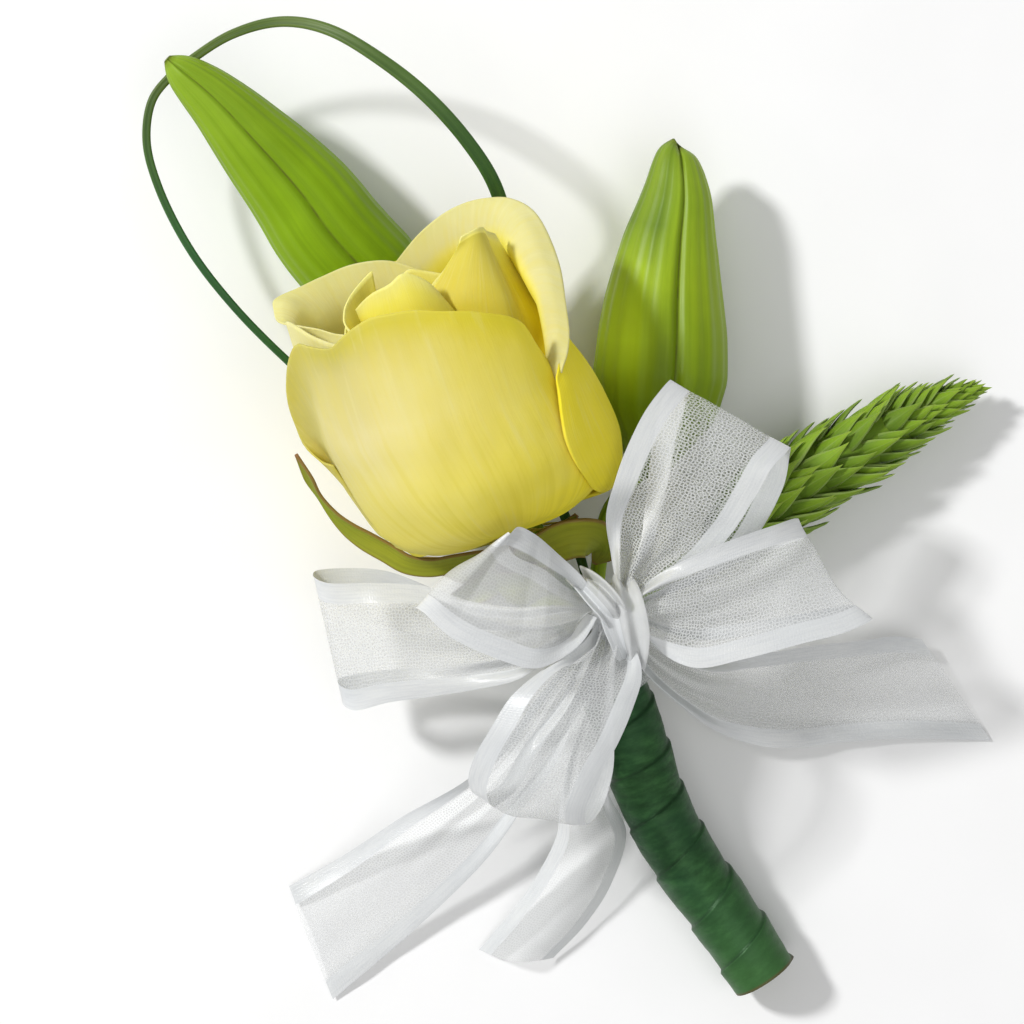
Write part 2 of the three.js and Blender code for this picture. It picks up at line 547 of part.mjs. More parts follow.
function makeKnot(clearance = 0) {
  const { point, tangent } = frameAt(handle, BAND_AT);
  const bore = TAPE_RADIUS + GAP + 0.1;
  const line = (half) =>
    new THREE.LineCurve3(
      point.clone().addScaledVector(tangent, -half),
      point.clone().addScaledVector(tangent, half),
    );
  const band = sweep(line(BAND_HALF_WIDTH), evenly(4), 20, (t, angle) => {
    const radius = bore + BAND_THICKNESS + BAND_RIPPLE * Math.cos(4 * Math.PI * t) + clearance;
    return [radius * Math.cos(angle), radius * Math.sin(angle)];
  });
  const hole = sweep(line(BAND_HALF_WIDTH + 2), [0, 1], 20, round(bore));
  const gather = sweep(new THREE.LineCurve3(KNOT_BOTTOM, KNOT_TOP), evenly(6), 12, (t, angle) => {
    const radius = ramp([[0, 3], [0.3, 3.3], [0.8, 3.6], [1, 2]], t) + clearance;
    return [radius * Math.cos(angle), radius * Math.sin(angle)];
  });
  return band.add(gather).subtract(hole);
}

// ---- assembly ----
const group = new THREE.Group();
group.position.copy(CENTRE_SHIFT);

function addNode(name, made, color, roughness) {
  const { numProp, vertProperties, triVerts } = largest(made).getMesh();
  const positions = new Float32Array((vertProperties.length / numProp) * 3);
  for (let i = 0; i < positions.length / 3; i++) {
    positions.set(vertProperties.subarray(i * numProp, i * numProp + 3), i * 3);
  }
  const geometry = new THREE.BufferGeometry();
  geometry.setAttribute('position', new THREE.BufferAttribute(positions, 3));
  geometry.setIndex(new THREE.BufferAttribute(new Uint32Array(triVerts), 1));
  const material = new THREE.MeshStandardMaterial({ color, roughness, metalness: 0 });
  const mesh = new THREE.Mesh(geometry, material);
  mesh.name = name;
  group.add(mesh);
}

const bloom = makeBloom();
const bloomWithGap = makeBloom(GAP);
const knot = makeKnot();
const leftStalk = [
  ...insideHandle(-3.4, -1.4),
  [10, -14.5, 11.5], [4, -2.5, 6.4], [-2, 7, 2.4], [-7.5, 16, 1.1], [-14, 30, 3],
];
const rightStalk = [
  ...insideHandle(3.4, -1.2),
  [15.2, -15.5, 16], [15.5, -8.5, 15], [17, -0.5, 13.4], [20, 4, 12.2], [24, 8.5, 11.7],
];

addNode('rose_bloom', bloom, '#e9dd72', 0.6);
addNode('rose_calyx_and_stem', makeCalyx().subtract(bloomWithGap), '#5c7a2c', 0.6);
const leftBud = makeBud(leftStalk, leftBudAxis, leftBudWidths, 0.09, Math.PI / 2, 20);
const rightBud = makeBud(rightStalk, rightBudAxis, rightBudWidths, 0.1, Math.PI / 2 - 0.2, 20);
addNode('left_lily_bud', leftBud.subtract(bloomWithGap), '#79981a', 0.5);
addNode('right_lily_bud', rightBud.subtract(bloomWithGap), '#7b9a22', 0.5);
addNode('grass_blade', makeGrass(), '#3f6a2c', 0.55);
addNode('ornithogalum_spike', makeSpike(), '#6d9132', 0.6);
addNode('stem_wrap_tape', makeTape(), '#31563a', 0.7);
addNode('bow_knot', knot, '#eef0ee', 0.5);

const placed = [makeKnot(GAP), bloomWithGap];
for (const [name, strip] of Object.entries(strips)) {
  addNode(name, without(makeStrip(strip), placed), '#eef0ee', 0.5);
  placed.push(makeStrip(strip, GAP));
}

export default group;
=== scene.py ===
import math

import bpy
import numpy as np
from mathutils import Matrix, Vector


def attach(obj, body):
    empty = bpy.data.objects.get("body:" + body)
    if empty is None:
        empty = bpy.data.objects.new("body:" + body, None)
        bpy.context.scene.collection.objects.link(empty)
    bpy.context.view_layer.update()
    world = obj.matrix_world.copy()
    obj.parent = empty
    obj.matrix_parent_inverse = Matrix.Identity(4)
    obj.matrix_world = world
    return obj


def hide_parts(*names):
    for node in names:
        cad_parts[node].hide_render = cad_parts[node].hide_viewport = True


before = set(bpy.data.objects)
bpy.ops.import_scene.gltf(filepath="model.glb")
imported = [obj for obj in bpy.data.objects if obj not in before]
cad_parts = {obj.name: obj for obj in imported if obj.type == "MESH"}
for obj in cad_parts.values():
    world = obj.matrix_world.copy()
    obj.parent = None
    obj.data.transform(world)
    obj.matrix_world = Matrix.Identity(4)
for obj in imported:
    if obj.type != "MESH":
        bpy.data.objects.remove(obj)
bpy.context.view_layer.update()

# Points are in millimetres until Piece.build, from the middle of the camera's view: x to its right, y
# to its top, and z above the surface that the corsage lies on.
MM = 0.001
CENTRE_SHIFT = np.array([-11.4, 1.6, 0.0])  # where the middle of the view lies in the frame
LOWEST = 0.08  # no point comes closer to the surface than this
UP = np.array([0.0, 0.0, 1.0])
FULL_TURN = 2 * math.pi
GOLDEN_ANGLE = math.pi * (3 - math.sqrt(5))
RIBBON_WIDTH = 22.0
WEFT_STEP = 0.19


# ---- curves and small functions ----
class Curve:
    """A centripetal Catmull-Rom curve through the points, read at t from 0 to 1."""

    def __init__(self, points):
        p = np.array(points, float)
        if p.shape[1] == 2:
            p = np.column_stack([p, np.zeros(len(p))])
        q = np.vstack([2 * p[0] - p[1], p, 2 * p[-1] - p[-2]])
        step = np.sqrt(np.linalg.norm(np.diff(q, axis=0), axis=1))[:, None]
        before, here, after = step[:-2], step[1:-1], step[2:]
        x0, x1, x2, x3 = q[:-3], q[1:-2], q[2:-1], q[3:]
        t1 = (x1 - x0) / before - (x2 - x0) / (before + here) + (x2 - x1) / here
        t2 = (x2 - x1) / here - (x3 - x1) / (here + after) + (x3 - x2) / after
        t1, t2 = t1 * here, t2 * here
        self.parts = x1, t1, -3 * x1 + 3 * x2 - 2 * t1 - t2, 2 * x1 - 2 * x2 + t1 + t2
        self.count = len(p) - 1

    def __call__(self, t):
        at = np.clip(np.asarray(t, float), 0, 1) * self.count
        i = np.minimum(np.floor(at).astype(int), self.count - 1)
        w = (at - i)[..., None]
        c0, c1, c2, c3 = self.parts
        return c0[i] + c1[i] * w + c2[i] * w**2 + c3[i] * w**3


def steps(count):
    """That many numbers, evenly from 0 to 1."""
    return np.linspace(0, 1, count)


def smooth(x):
    """0 up to x = 0, 1 from x = 1, and a soft step between them."""
    x = np.clip(x, 0, 1)
    return x * x * (3 - 2 * x)


def ramp(pairs, t):
    """Straight lines through the pairs (t, value)."""
    xs, ys = zip(*pairs)
    return np.interp(t, xs, ys)


def soft_ramp(pairs, t, blur=0.05):
    """ramp() with its corners rounded off."""
    low, high = pairs[0][0], pairs[-1][0]
    xs = np.linspace(low, high, 201)
    ys = ramp(pairs, xs)
    reach = max(1, int(blur * 200))
    window = np.hanning(2 * reach + 3)[1:-1]
    padded = np.concatenate([2 * ys[0] - ys[reach:0:-1], ys, 2 * ys[-1] - ys[-2 : -reach - 2 : -1]])
    return np.interp(t, xs, np.convolve(padded, window / window.sum(), "valid"))


def unit(v):
    return v / np.maximum(np.linalg.norm(v, axis=-1, keepdims=True), 1e-9)


def ripples(points, wavelength, seed, waves=5):
    """Smooth noise from -1 to 1 at the points, of about that wavelength."""
    rng = np.random.default_rng(seed)
    total = np.zeros(points.shape[:-1])
    for _ in range(waves):
        direction = unit(rng.normal(size=3)) * rng.uniform(0.7, 1.5) / wavelength
        total += np.sin(FULL_TURN * (points @ direction) + rng.uniform(0, FULL_TURN))
    return total / waves


def frame_at(curve, t):
    """The point at t, the way the curve runs, and the two ways across it: sideways and upwards."""
    t = np.asarray(t, float)
    tangent = unit(curve(t + 1e-3) - curve(t - 1e-3))
    side = unit(np.cross(tangent, UP))
    return curve(t), tangent, side, np.cross(side, tangent)


def around(stations, sides):
    """The station and the angle of every point on the skin of a tube."""
    return np.meshgrid(stations, FULL_TURN * np.arange(sides) / sides, indexing="ij")


def ring(radius, angle):
    return radius * np.cos(angle), radius * np.sin(angle)


# ---- meshes ----
def add_object(name, data):
    made = bpy.data.objects.new(name, data)
    bpy.context.scene.collection.objects.link(made)
    return made


def grid_faces(columns, rows, first=0, closed=False, flip=False):
    """Quads over points stored column by column: rows + 1 to a column, or rows to a closed one."""
    tall = rows if closed else rows + 1
    i, j = np.meshgrid(np.arange(columns), np.arange(rows), indexing="ij")
    after = (j + 1) % tall
    quads = np.stack([i * tall + j, (i + 1) * tall + j, (i + 1) * tall + after, i * tall + after], -1)
    quads = quads.reshape(-1, 4) + first
    return quads[:, ::-1] if flip else quads


class Piece:
    """Collects the points and faces of one object. Every point has a place on a flat map, and a tone."""

    def __init__(self):
        self.points, self.faces, self.flat, self.tone = [], [], [], []
        self.count = 0

    def add(self, points, faces, flat, tone=0.5):
        points = points.reshape(-1, 3)
        self.points.append(points)
        self.flat.append(np.broadcast_to(flat.reshape(-1, 2), (len(points), 2)))
        self.tone.append(np.broadcast_to(tone, points.shape[:1]).astype(float))
        self.faces.extend((np.asarray(f) + self.count).tolist() for f in faces)
        self.count += len(points)

    def sheet(self, points, flat, tone=0.5):
        columns, rows = points.shape[0] - 1, points.shape[1] - 1
        self.add(points, grid_faces(columns, rows), flat, tone)

    def slab(self, points, flat, thickness, tone=0.5):
        """A closed sheet of that thickness round the grid of points."""
        columns, rows = points.shape[0] - 1, points.shape[1] - 1
        normal = unit(np.cross(np.gradient(points, axis=0), np.gradient(points, axis=1)))
        half = normal * (np.asarray(thickness)[..., None] / 2)
        count = (columns + 1) * (rows + 1)
        at = np.arange(count).reshape(columns + 1, rows + 1)
        rim = np.concatenate([at[:-1, 0], at[-1, :-1], at[:0:-1, -1], at[0, :0:-1]])
        after = np.roll(rim, -1)
        sides = np.stack([rim, rim + count, after + count, after], -1)
        faces = [grid_faces(columns, rows), grid_faces(columns, rows, count, flip=True), sides]
        both = np.stack([points + half, points - half])
        tones = np.tile(np.broadcast_to(tone, points.shape[:2]).ravel(), 2)
        self.add(both, np.concatenate(faces), np.stack([flat, flat]), tones)

    def tube(self, rings, flat=None, tone=0.5):
        """A closed skin over rings, shaped (rings, sides, 3), with a fan on both ends."""
        count, sides = rings.shape[:2]
        if flat is None:
            t, a = np.meshgrid(steps(count), np.arange(sides) / sides, indexing="ij")
            flat = np.stack([a, t], -1)
        ends = np.stack([rings[0].mean(0), rings[-1].mean(0)])
        points = np.concatenate([rings.reshape(-1, 3), ends])
        flats = np.concatenate([flat.reshape(-1, 2), flat[0].mean(0)[None], flat[-1].mean(0)[None]])
        faces = grid_faces(count - 1, sides, closed=True).tolist()
        body = count * sides
        for j in range(sides):
            k = (j + 1) % sides
            faces.append([k, j, body])
            faces.append([body - sides + j, body - sides + k, body + 1])
        self.add(points, faces, flats, tone)

    def build(self, name, material, node):
        """The object in metres, in place of its node of the frame."""
        mesh = bpy.data.meshes.new(name)
        points = np.concatenate(self.points) + CENTRE_SHIFT
        points[:, 2] = np.maximum(points[:, 2], LOWEST)
        points *= MM
        mesh.from_pydata(points.tolist(), [], self.faces)
        corners = np.empty(len(mesh.loops), int)
        mesh.loops.foreach_get("vertex_index", corners)
        mesh.uv_layers.new(name="flat").data.foreach_set("uv", np.concatenate(self.flat)[corners].ravel())
        tone = mesh.attributes.new("tone", "FLOAT", "POINT")
        tone.data.foreach_set("value", np.concatenate(self.tone).astype(np.float32))
        mesh.polygons.foreach_set("use_smooth", np.ones(len(mesh.polygons), bool))
        mesh.validate()
        mesh.materials.append(material)
        made = add_object(name, mesh)
        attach(made, "root")
        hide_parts(node)
        return made


def sweep(curve, stations, sides, section):
    """Rings across a path; section(t, angle) gives how far sideways and upwards each point stands."""
    t, angle = around(stations, sides)
    point, _, side, up = frame_at(curve, stations)
    a, b = section(t, angle)
    return point[:, None] + side[:, None] * a[..., None] + up[:, None] * b[..., None]


def round_section(radius):
    return lambda t, angle: ring(radius, angle)


# ---- materials ----
class Shader:
    """A material of procedural nodes. What a method returns is an output socket, to build on."""

    def __init__(self, name):
        self.material = bpy.data.materials.new(name)
        self.material.use_nodes = True
        self.tree = self.material.node_tree
        self.base = self.tree.nodes["Principled BSDF"]
        self.colour = None

    def node(self, kind, inputs, output=0, **settings):
        made = self.tree.nodes.new(kind)
        for key, value in settings.items():
            setattr(made, key, value)
        for key, value in inputs.items():
            self.put(made.inputs[key], value)
        return made.outputs[output]

    def put(self, socket, value):
        if isinstance(value, bpy.types.NodeSocket):
            self.tree.links.new(value, socket)
        else:
            socket.default_value = value

    def set(self, **inputs):
        for key, value in inputs.items():
            self.put(self.base.inputs[key.replace("_", " ")], value)

    def math(self, operation, a, b=0.0):
        return self.node("ShaderNodeMath", {0: a, 1: b}, operation=operation)

    def plus(self, a, b):
        return self.math("ADD", a, b)

    def minus(self, a, b):
        return self.math("SUBTRACT", a, b)

    def times(self, a, b):
        return self.math("MULTIPLY", a, b)

    def flat(self):
        """The piece's own flat map, whole and as its two numbers: across and along."""
        uv = self.node("ShaderNodeUVMap", {}, uv_map="flat")
        split = self.tree.nodes.new("ShaderNodeSeparateXYZ")
        self.tree.links.new(uv, split.inputs[0])
        return uv, split.outputs[0], split.outputs[1]

    def tone(self):
        return self.node("ShaderNodeAttribute", {}, output=2, attribute_name="tone")

    def place(self):
        return self.node("ShaderNodeTexCoord", {}, output=3)

    def scaled(self, vector, x, y, z=1.0):
        return self.node("ShaderNodeVectorMath", {0: vector, 1: (x, y, z)}, operation="MULTIPLY")

    def noise(self, vector, scale, detail=3.0, roughness=0.5):
        inputs = {"Vector": vector, "Scale": scale, "Detail": detail, "Roughness": roughness}
        return self.node("ShaderNodeTexNoise", inputs)

    def colours(self, factor, stops):
        """A colour ramp through the stops (position, colour)."""
        made = self.tree.nodes.new("ShaderNodeValToRGB")
        self.put(made.inputs[0], factor)
        elements = made.color_ramp.elements
        while len(elements) < len(stops):
            elements.new(0.5)
        for element, (position, colour) in zip(elements, stops):
            element.position = position
            element.color = (*colour, 1)
        return made.outputs[0]

    def levels(self, factor, stops):
        """Straight lines through the stops (position, value)."""
        return self.colours(factor, [(position, (value,) * 3) for position, value in stops])

    def rise(self, factor, low, high):
        return self.levels(factor, [(low, 0.0), (high, 1.0)])

    def fall(self, factor, low, high):
        return self.levels(factor, [(low, 1.0), (high, 0.0)])

    def blend(self, factor, a, b):
        made = self.tree.nodes.new("ShaderNodeMix")
        made.data_type = "RGBA"
        for socket, value in zip([made.inputs[0], made.inputs[6], made.inputs[7]], [factor, a, b]):
            if isinstance(value, tuple) and len(value) == 3:
                value = (*value, 1)
            self.put(socket, value)
        return made.outputs[2]

    def paint(self, tint, *shares):
        """Lays a tint over the colour so far, as much as the product of the shares says."""
        share = shares[0]
        for other in shares[1:]:
            share = self.times(share, other)
        self.colour = self.blend(share, self.colour, tint)
        self.set(Base_Color=self.colour)

    def rough(self, noise, low, high):
        self.set(Roughness=self.levels(noise, [(0.3, low), (0.7, high)]))

    def bump(self, height, strength, distance):
        inputs = {"Height": height, "Strength": strength, "Distance": distance}
        self.put(self.base.inputs["Normal"], self.node("ShaderNodeBump", inputs))

    def soft(self, weight, scale, radius):
        """Light that enters the surface and leaves it nearby."""
        self.set(Subsurface_Weight=weight, Subsurface_Scale=scale, Subsurface_Radius=radius)


def petal_material():
    """Tone: 0 outer face in painted shade, 0.3 outer face, 0.5 inner face in painted shade, 0.6 deep yellow
    inner,
    1 pale rim, 1.5 palest, which is painted light."""
    s = Shader("rose_petal")
    uv, across, along = s.flat()
    tone = s.tone()
    # Outer face from root to rim: deep yellow at the root, tan towards the rim. The brighter low part and
    # darker top are partly the petal's own colour and partly painted light and shade that even out the key
    # light from the upper left.
    s.colour = s.colours(along, [
        (0.0, (0.78, 0.64, 0.03)), (0.16, (0.95, 0.79, 0.07)), (0.34, (0.93, 0.79, 0.17)),
        (0.58, (0.80, 0.70, 0.34)), (0.80, (0.59, 0.53, 0.20)), (0.94, (0.50, 0.45, 0.09)),
        (1.0, (0.51, 0.46, 0.12)),
    ])
    deep = s.colours(along, [
        (0.0, (0.80, 0.62, 0.004)), (0.55, (0.88, 0.74, 0.02)), (0.85, (0.90, 0.80, 0.12)),
        (1.0, (0.92, 0.85, 0.28)),
    ])
    s.paint(deep, s.rise(tone, 0.35, 0.6))
    # Painted shade on the outer faces of the right petal and of the front petal's left lobe, which is partly
    # its own greener tint.
    shaded_outer = s.levels(tone, [(0.0, 0.75), (0.3, 0.0)])
    s.paint((0.42, 0.37, 0.06), shaded_outer)
    # Painted shade on the inner face, used on the folded petal's left part.
    shaded_inner = s.levels(tone, [(0.42, 0.0), (0.48, 0.5), (0.52, 0.5), (0.58, 0.0)])
    s.paint((0.50, 0.43, 0.03), shaded_inner)
    s.paint((0.69, 0.64, 0.29), s.rise(tone, 0.66, 1.0))
    # Palest, above tone 1: painted light that lifts the shade in the left petal's deep pocket.
    s.paint((0.97, 0.91, 0.42), s.rise(s.minus(tone, 1.0), 0.0, 0.5))
    front_face = s.levels(tone, [(0.3, 0.9), (0.36, 0.0)])
    # On the outer faces: brighter, deeper yellow towards the right, partly the petal's own colour and partly
    # painted light; darker towards the left, painted shade. Both even out the key light from the left.
    s.paint((0.97, 0.80, 0.02), s.rise(across, 0.42, 0.82), front_face)
    s.paint((0.56, 0.49, 0.10), s.levels(across, [(0.12, 0.6), (0.5, 0.0)]), front_face)
    veins = s.noise(s.scaled(uv, 58, 2.4), 1.0, 3.0, 0.55)
    near_root = s.levels(along, [(0.2, 0.45), (0.6, 0.12)])
    s.paint((0.76, 0.62, 0.03), s.fall(veins, 0.38, 0.52), near_root)
    s.paint((0.86, 0.80, 0.44), s.rise(veins, 0.56, 0.7), 0.14)
    cloud = s.noise(s.place(), 75, 3.0)
    s.paint((0.62, 0.54, 0.11), s.levels(cloud, [(0.3, 0.18), (0.62, 0.0)]))
    s.paint((0.86, 0.80, 0.42), s.levels(cloud, [(0.5, 0.0), (0.75, 0.18)]))
    s.rough(cloud, 0.5, 0.64)
    s.soft(0.3, 0.0018, (1.0, 0.85, 0.35))
    s.set(Specular_IOR_Level=0.1)
    skin = s.noise(s.place(), 900, 2.0)
    s.bump(s.plus(veins, s.times(skin, 0.3)), 0.22, 0.0004)
    return s.material


def green_material(name, stops, stripes, stripe_depth, roughness, dark, specular=0.22):
    """Leaf green along the piece, with fine dark stripes that run lengthwise and a few dark blotches."""
    s = Shader(name)
    uv, _, along = s.flat()
    s.colour = s.colours(along, stops)
    lines = s.noise(s.scaled(uv, stripes, 1.6), 1.0, 4.0, 0.6)
    s.paint(dark, s.fall(lines, 0.36, 0.56), stripe_depth)
    cloud = s.noise(s.place(), 70, 3.0)
    s.paint(dark, s.fall(cloud, 0.35, 0.65), 0.3)
    s.rough(cloud, roughness - 0.06, roughness + 0.06)
    s.soft(0.1, 0.0012, (0.5, 1.0, 0.1))
    s.set(Specular_IOR_Level=specular)
    s.bump(lines, 0.22, 0.0003)
    return s


def bud_material(name, stops, stripe_dark, edge, specular, light_and_shade_patches=()):
    """Green with a dark seam between each two of its three outer tepals, and a pale rib on each.
    patches: (colour, levels across, levels along) of a part painted paler or darker: painted light and
    painted shade."""
    s = green_material(name, stops, 34, 0.38, 0.42, stripe_dark, specular)
    uv, across, along = s.flat()
    # Patches of painted light and painted shade.
    for tint, over_across, over_along in light_and_shade_patches:
        s.paint(tint, s.levels(across, over_across), s.levels(along, over_along))
    from_seam = s.times(s.math("PINGPONG", s.plus(across, 1 / 12), 1 / 6), 6.0)
    s.paint(stripe_dark, s.levels(from_seam, [(0.0, 0.45), (0.16, 0.0)]))
    s.paint(edge, s.levels(from_seam, [(0.55, 0.0), (1.0, 0.3)]))
    line = s.levels(from_seam, [(0.0, 0.55), (0.012, 0.4), (0.03, 0.0)])
    broken = s.levels(s.noise(s.scaled(uv, 3, 22), 1.0, 3.0), [(0.35, 0.25), (0.6, 1.0)])
    s.paint((0.085, 0.045, 0.022), line, broken)
    s.paint((0.075, 0.05, 0.012), s.levels(along, [(0.985, 0.0), (1.0, 0.5)]))
    return s.material


def ribbon_material():
    """A see-through net between two satin bands. The map is in millimetres: across the ribbon, and along.
    Tone says how milky the net is."""
    s = Shader("organza_ribbon")
    uv, across, along = s.flat()
    holes = {"Vector": s.scaled(uv, 1.0, 1.2), "Scale": 1.55, "Randomness": 0.7}
    cells = s.node("ShaderNodeTexVoronoi", holes, feature="DISTANCE_TO_EDGE", voronoi_dimensions="2D")
    threads = s.fall(cells, 0.1, 0.24)
    veil = s.tone()
    contrast = s.minus(0.52, s.times(veil, 0.33))
    milk = s.plus(s.times(veil, 0.3), 0.02)
    net = s.plus(s.times(threads, contrast), milk)
    from_edge = s.math("DIVIDE", s.math("MINIMUM", across, s.minus(RIBBON_WIDTH, across)), 10.0)
    band = s.fall(from_edge, 0.35, 0.375)
    alpha = s.plus(s.times(band, s.minus(0.93, net)), net)
    weft = s.math("DIVIDE", s.math("PINGPONG", along, WEFT_STEP), WEFT_STEP)
    weft = s.rise(weft, 0.2, 0.8)
    cloud = s.noise(s.place(), 60, 3.0)
    satin = s.colours(cloud, [(0.3, (0.65, 0.67, 0.68)), (0.7, (0.72, 0.73, 0.725))])
    sheer = s.colours(cloud, [(0.3, (0.73, 0.745, 0.75)), (0.7, (0.81, 0.82, 0.815))])
    s.colour = s.blend(band, sheer, satin)
    # Darker lengthwise streaks on the satin bands: partly the weave's own texture, partly painted sheen for
    # the satin's streaky gloss.
    weave_and_sheen_streaks = s.noise(s.scaled(uv, 3.2, 0.16), 1.0, 3.0)
    s.paint((0.58, 0.60, 0.62), s.levels(weave_and_sheen_streaks, [(0.35, 0.5), (0.6, 0.0)]), band)
    selvedge = s.levels(from_edge, [(0.33, 0.0), (0.36, 1.0), (0.39, 0.0)])
    s.paint((0.62, 0.64, 0.65), selvedge, s.times(weft, 0.35))
    s.set(Alpha=alpha, Roughness=s.levels(band, [(0.0, 0.6), (1.0, 0.3)]))
    s.set(Sheen_Weight=0.3, Sheen_Roughness=0.3, Specular_IOR_Level=0.45)
    s.bump(s.plus(s.times(weft, 0.3), threads), 0.2, 0.0001)
    return s.material


def tape_material():
    """Dark green crepe, creased lengthwise, with painted shade along the step at the edge of each turn and a
    brown cut end.
    """
    s = Shader("crepe_tape")
    uv, across, along = s.flat()
    creases = s.noise(s.scaled(uv, 9, 42), 1.0, 5.0, 0.6)
    cloud = s.noise(s.place(), 120, 3.0)
    s.colour = s.colours(creases, [
        (0.25, (0.008, 0.030, 0.008)), (0.5, (0.022, 0.074, 0.022)), (0.75, (0.050, 0.145, 0.045)),
    ])
    s.paint((0.018, 0.060, 0.028), s.levels(cloud, [(0.35, 0.5), (0.65, 0.0)]))
    s.paint((0.055, 0.150, 0.042), s.levels(along, [(0.0, 0.6), (0.3, 0.0)]))
    turn = s.math("FRACT", s.plus(s.times(along, length_of(handle) / TAPE_PITCH), across))
    # Painted shade: a dark line down the step where each turn overlaps the one before.
    seam = s.levels(turn, [(0.0, 0.0), (0.03, 0.75), (0.09, 0.0), (0.9, 0.0), (1.0, 0.3)])
    s.paint((0.008, 0.028, 0.010), seam)
    s.paint((0.10, 0.06, 0.03), s.levels(along, [(0.004, 0.7), (0.008, 0.0)]))
    s.rough(cloud, 0.36, 0.52)
    s.set(Specular_IOR_Level=0.3, Specular_Tint=(0.6, 1.0, 0.6, 1.0))
    s.bump(creases, 0.35, 0.0005)
    return s.material


# ---- the handle, and the stems inside its tape ----
TAPE_RADIUS = 6.35
TAPE_BORE = 5.4
TAPE_PITCH = 9.0
TAPE_STEP = 0.5  # how far the edge of each turn stands over the turn before it
TAPE_OVERLAP = 0.06  # the share of a turn over which it steps down again
TAPE_TOP = 0.94  # where the tape ends on the handle's curve
TAPE_STATIONS = 460
LINING_STATIONS = 60
TAPE_SIDES = 96
handle = Curve([
    [45.5, -83.5, 5.9], [38.5, -73, 6.9], [30.5, -61.5, 9], [25, -51, 10.8],
    [21.5, -40.5, 13], [17.5, -30, 15.4], [14, -21.5, 17.3],
])


def inside_handle(sideways, upwards):
    """Points of a stem that runs beside the handle's middle, inside the tape."""
    point, _, side, up = frame_at(handle, np.linspace(0, TAPE_TOP, 6))
    return (point + side * sideways + up * upwards).tolist()


def length_of(curve):
    points = curve(steps(400))
    return np.linalg.norm(np.diff(points, axis=0), axis=1).sum()


def make_tape():
    tape = Piece()
    length = length_of(handle)

    def section(t, angle):
        turn = (t * length / TAPE_PITCH + angle / FULL_TURN) % 1
        rise = (turn - TAPE_OVERLAP) / (1 - TAPE_OVERLAP)
        step = TAPE_STEP * np.where(turn < TAPE_OVERLAP, 1 - turn / TAPE_OVERLAP, rise)
        place = np.stack([t * length, *ring(4, angle)], -1)
        rough = 0.035 * ripples(place * [1, 0.5, 0.5], 1.6, 11, 7) + 0.14 * ripples(place, 6, 12)
        return ring(TAPE_RADIUS - TAPE_STEP + step + rough, angle)

    outward = np.linspace(0, TAPE_TOP, TAPE_STATIONS)
    back = np.linspace(TAPE_TOP, 0, LINING_STATIONS)
    outer = sweep(handle, outward, TAPE_SIDES, section)
    inner = sweep(handle, back, TAPE_SIDES, round_section(TAPE_BORE))
    rings = np.concatenate([outer, inner, outer[:1]])
    t, angle = around(np.concatenate([outward, back, [0.0]]), TAPE_SIDES)
    flat = np.stack([angle / FULL_TURN, t], -1)
    tape.add(rings, grid_faces(len(rings) - 1, TAPE_SIDES, closed=True), flat)
    return tape.build("crepe_tape", tape_material(), "stem_wrap_tape")


# ---- rose ----
# Places in the bloom are (azimuth in degrees, radius, height along its axis). Azimuth 0 faces the
# camera, 90 is to the right and -90 to the left.
ROSE_BASE = np.array([-1, -9.5, 20])
ROSE_TILT = math.radians(19.4)
ROSE_LIFT = math.radians(20)
ROSE_HEIGHT = 60
ROSE_PRESS = 0.32  # how much flatter the back is than the front, at full height
ROSE_BEND = [(0, 2.5), (12, 2.5), (35, -0.8)]  # (height, how far the axis lies to the right)
rose_axis = np.array([
    -math.sin(ROSE_TILT) * math.cos(ROSE_LIFT),
    math.cos(ROSE_TILT) * math.cos(ROSE_LIFT),
    math.sin(ROSE_LIFT),
])
rose_right = np.array([math.cos(ROSE_TILT), math.sin(ROSE_TILT), 0])
rose_front = np.cross(rose_right, rose_axis)


def in_rose(azimuth, radius, height):
    angle = np.radians(azimuth)
    below = np.maximum(0, -np.cos(angle))
    pressed = radius * (1 - ROSE_PRESS * below * height / ROSE_HEIGHT)
    aside = soft_ramp(ROSE_BEND, height)
    return (
        ROSE_BASE
        + (radius * np.sin(angle) + aside)[..., None] * rose_right
        + (pressed * np.cos(angle))[..., None] * rose_front
        + height[..., None] * rose_axis
    )


def petal_points(petal, u, v):
    """The middle surface of an inner petal. profile lists (radius, height) up its middle, spread its
    half width in degrees from root to rim, and rim how far the rim hangs below its height."""
    across = 2 * u - 1
    profile = Curve(petal["profile"])(v)
    spread = petal["spread"]
    half = soft_ramp([(i / (len(spread) - 1), x) for i, x in enumerate(spread)], v, 0.1)
    edge = smooth(v)
    lift = 1 - soft_ramp(petal["rim"], across, 0.03) * edge / profile[..., 1]
    height = profile[..., 1] * lift
    place = np.stack([across * 20 + petal["azimuth"], v * 30, u * 0], -1)
    wave = 0.4 * edge * ripples(place, 17, petal["azimuth"] + 300)
    return in_rose(petal["azimuth"] + half * across, profile[..., 0] + wave, height)


def patch_points(stations, u, v):
    """A smooth surface through stations across a petal, each a list of places from root to rim."""
    columns = np.array([Curve(points)(v[0]) for points in stations])
    table = np.stack([Curve(columns[:, j])(u[:, 0]) for j in range(v.shape[1])], 1)
    return in_rose(table[..., 0], table[..., 1], table[..., 2])


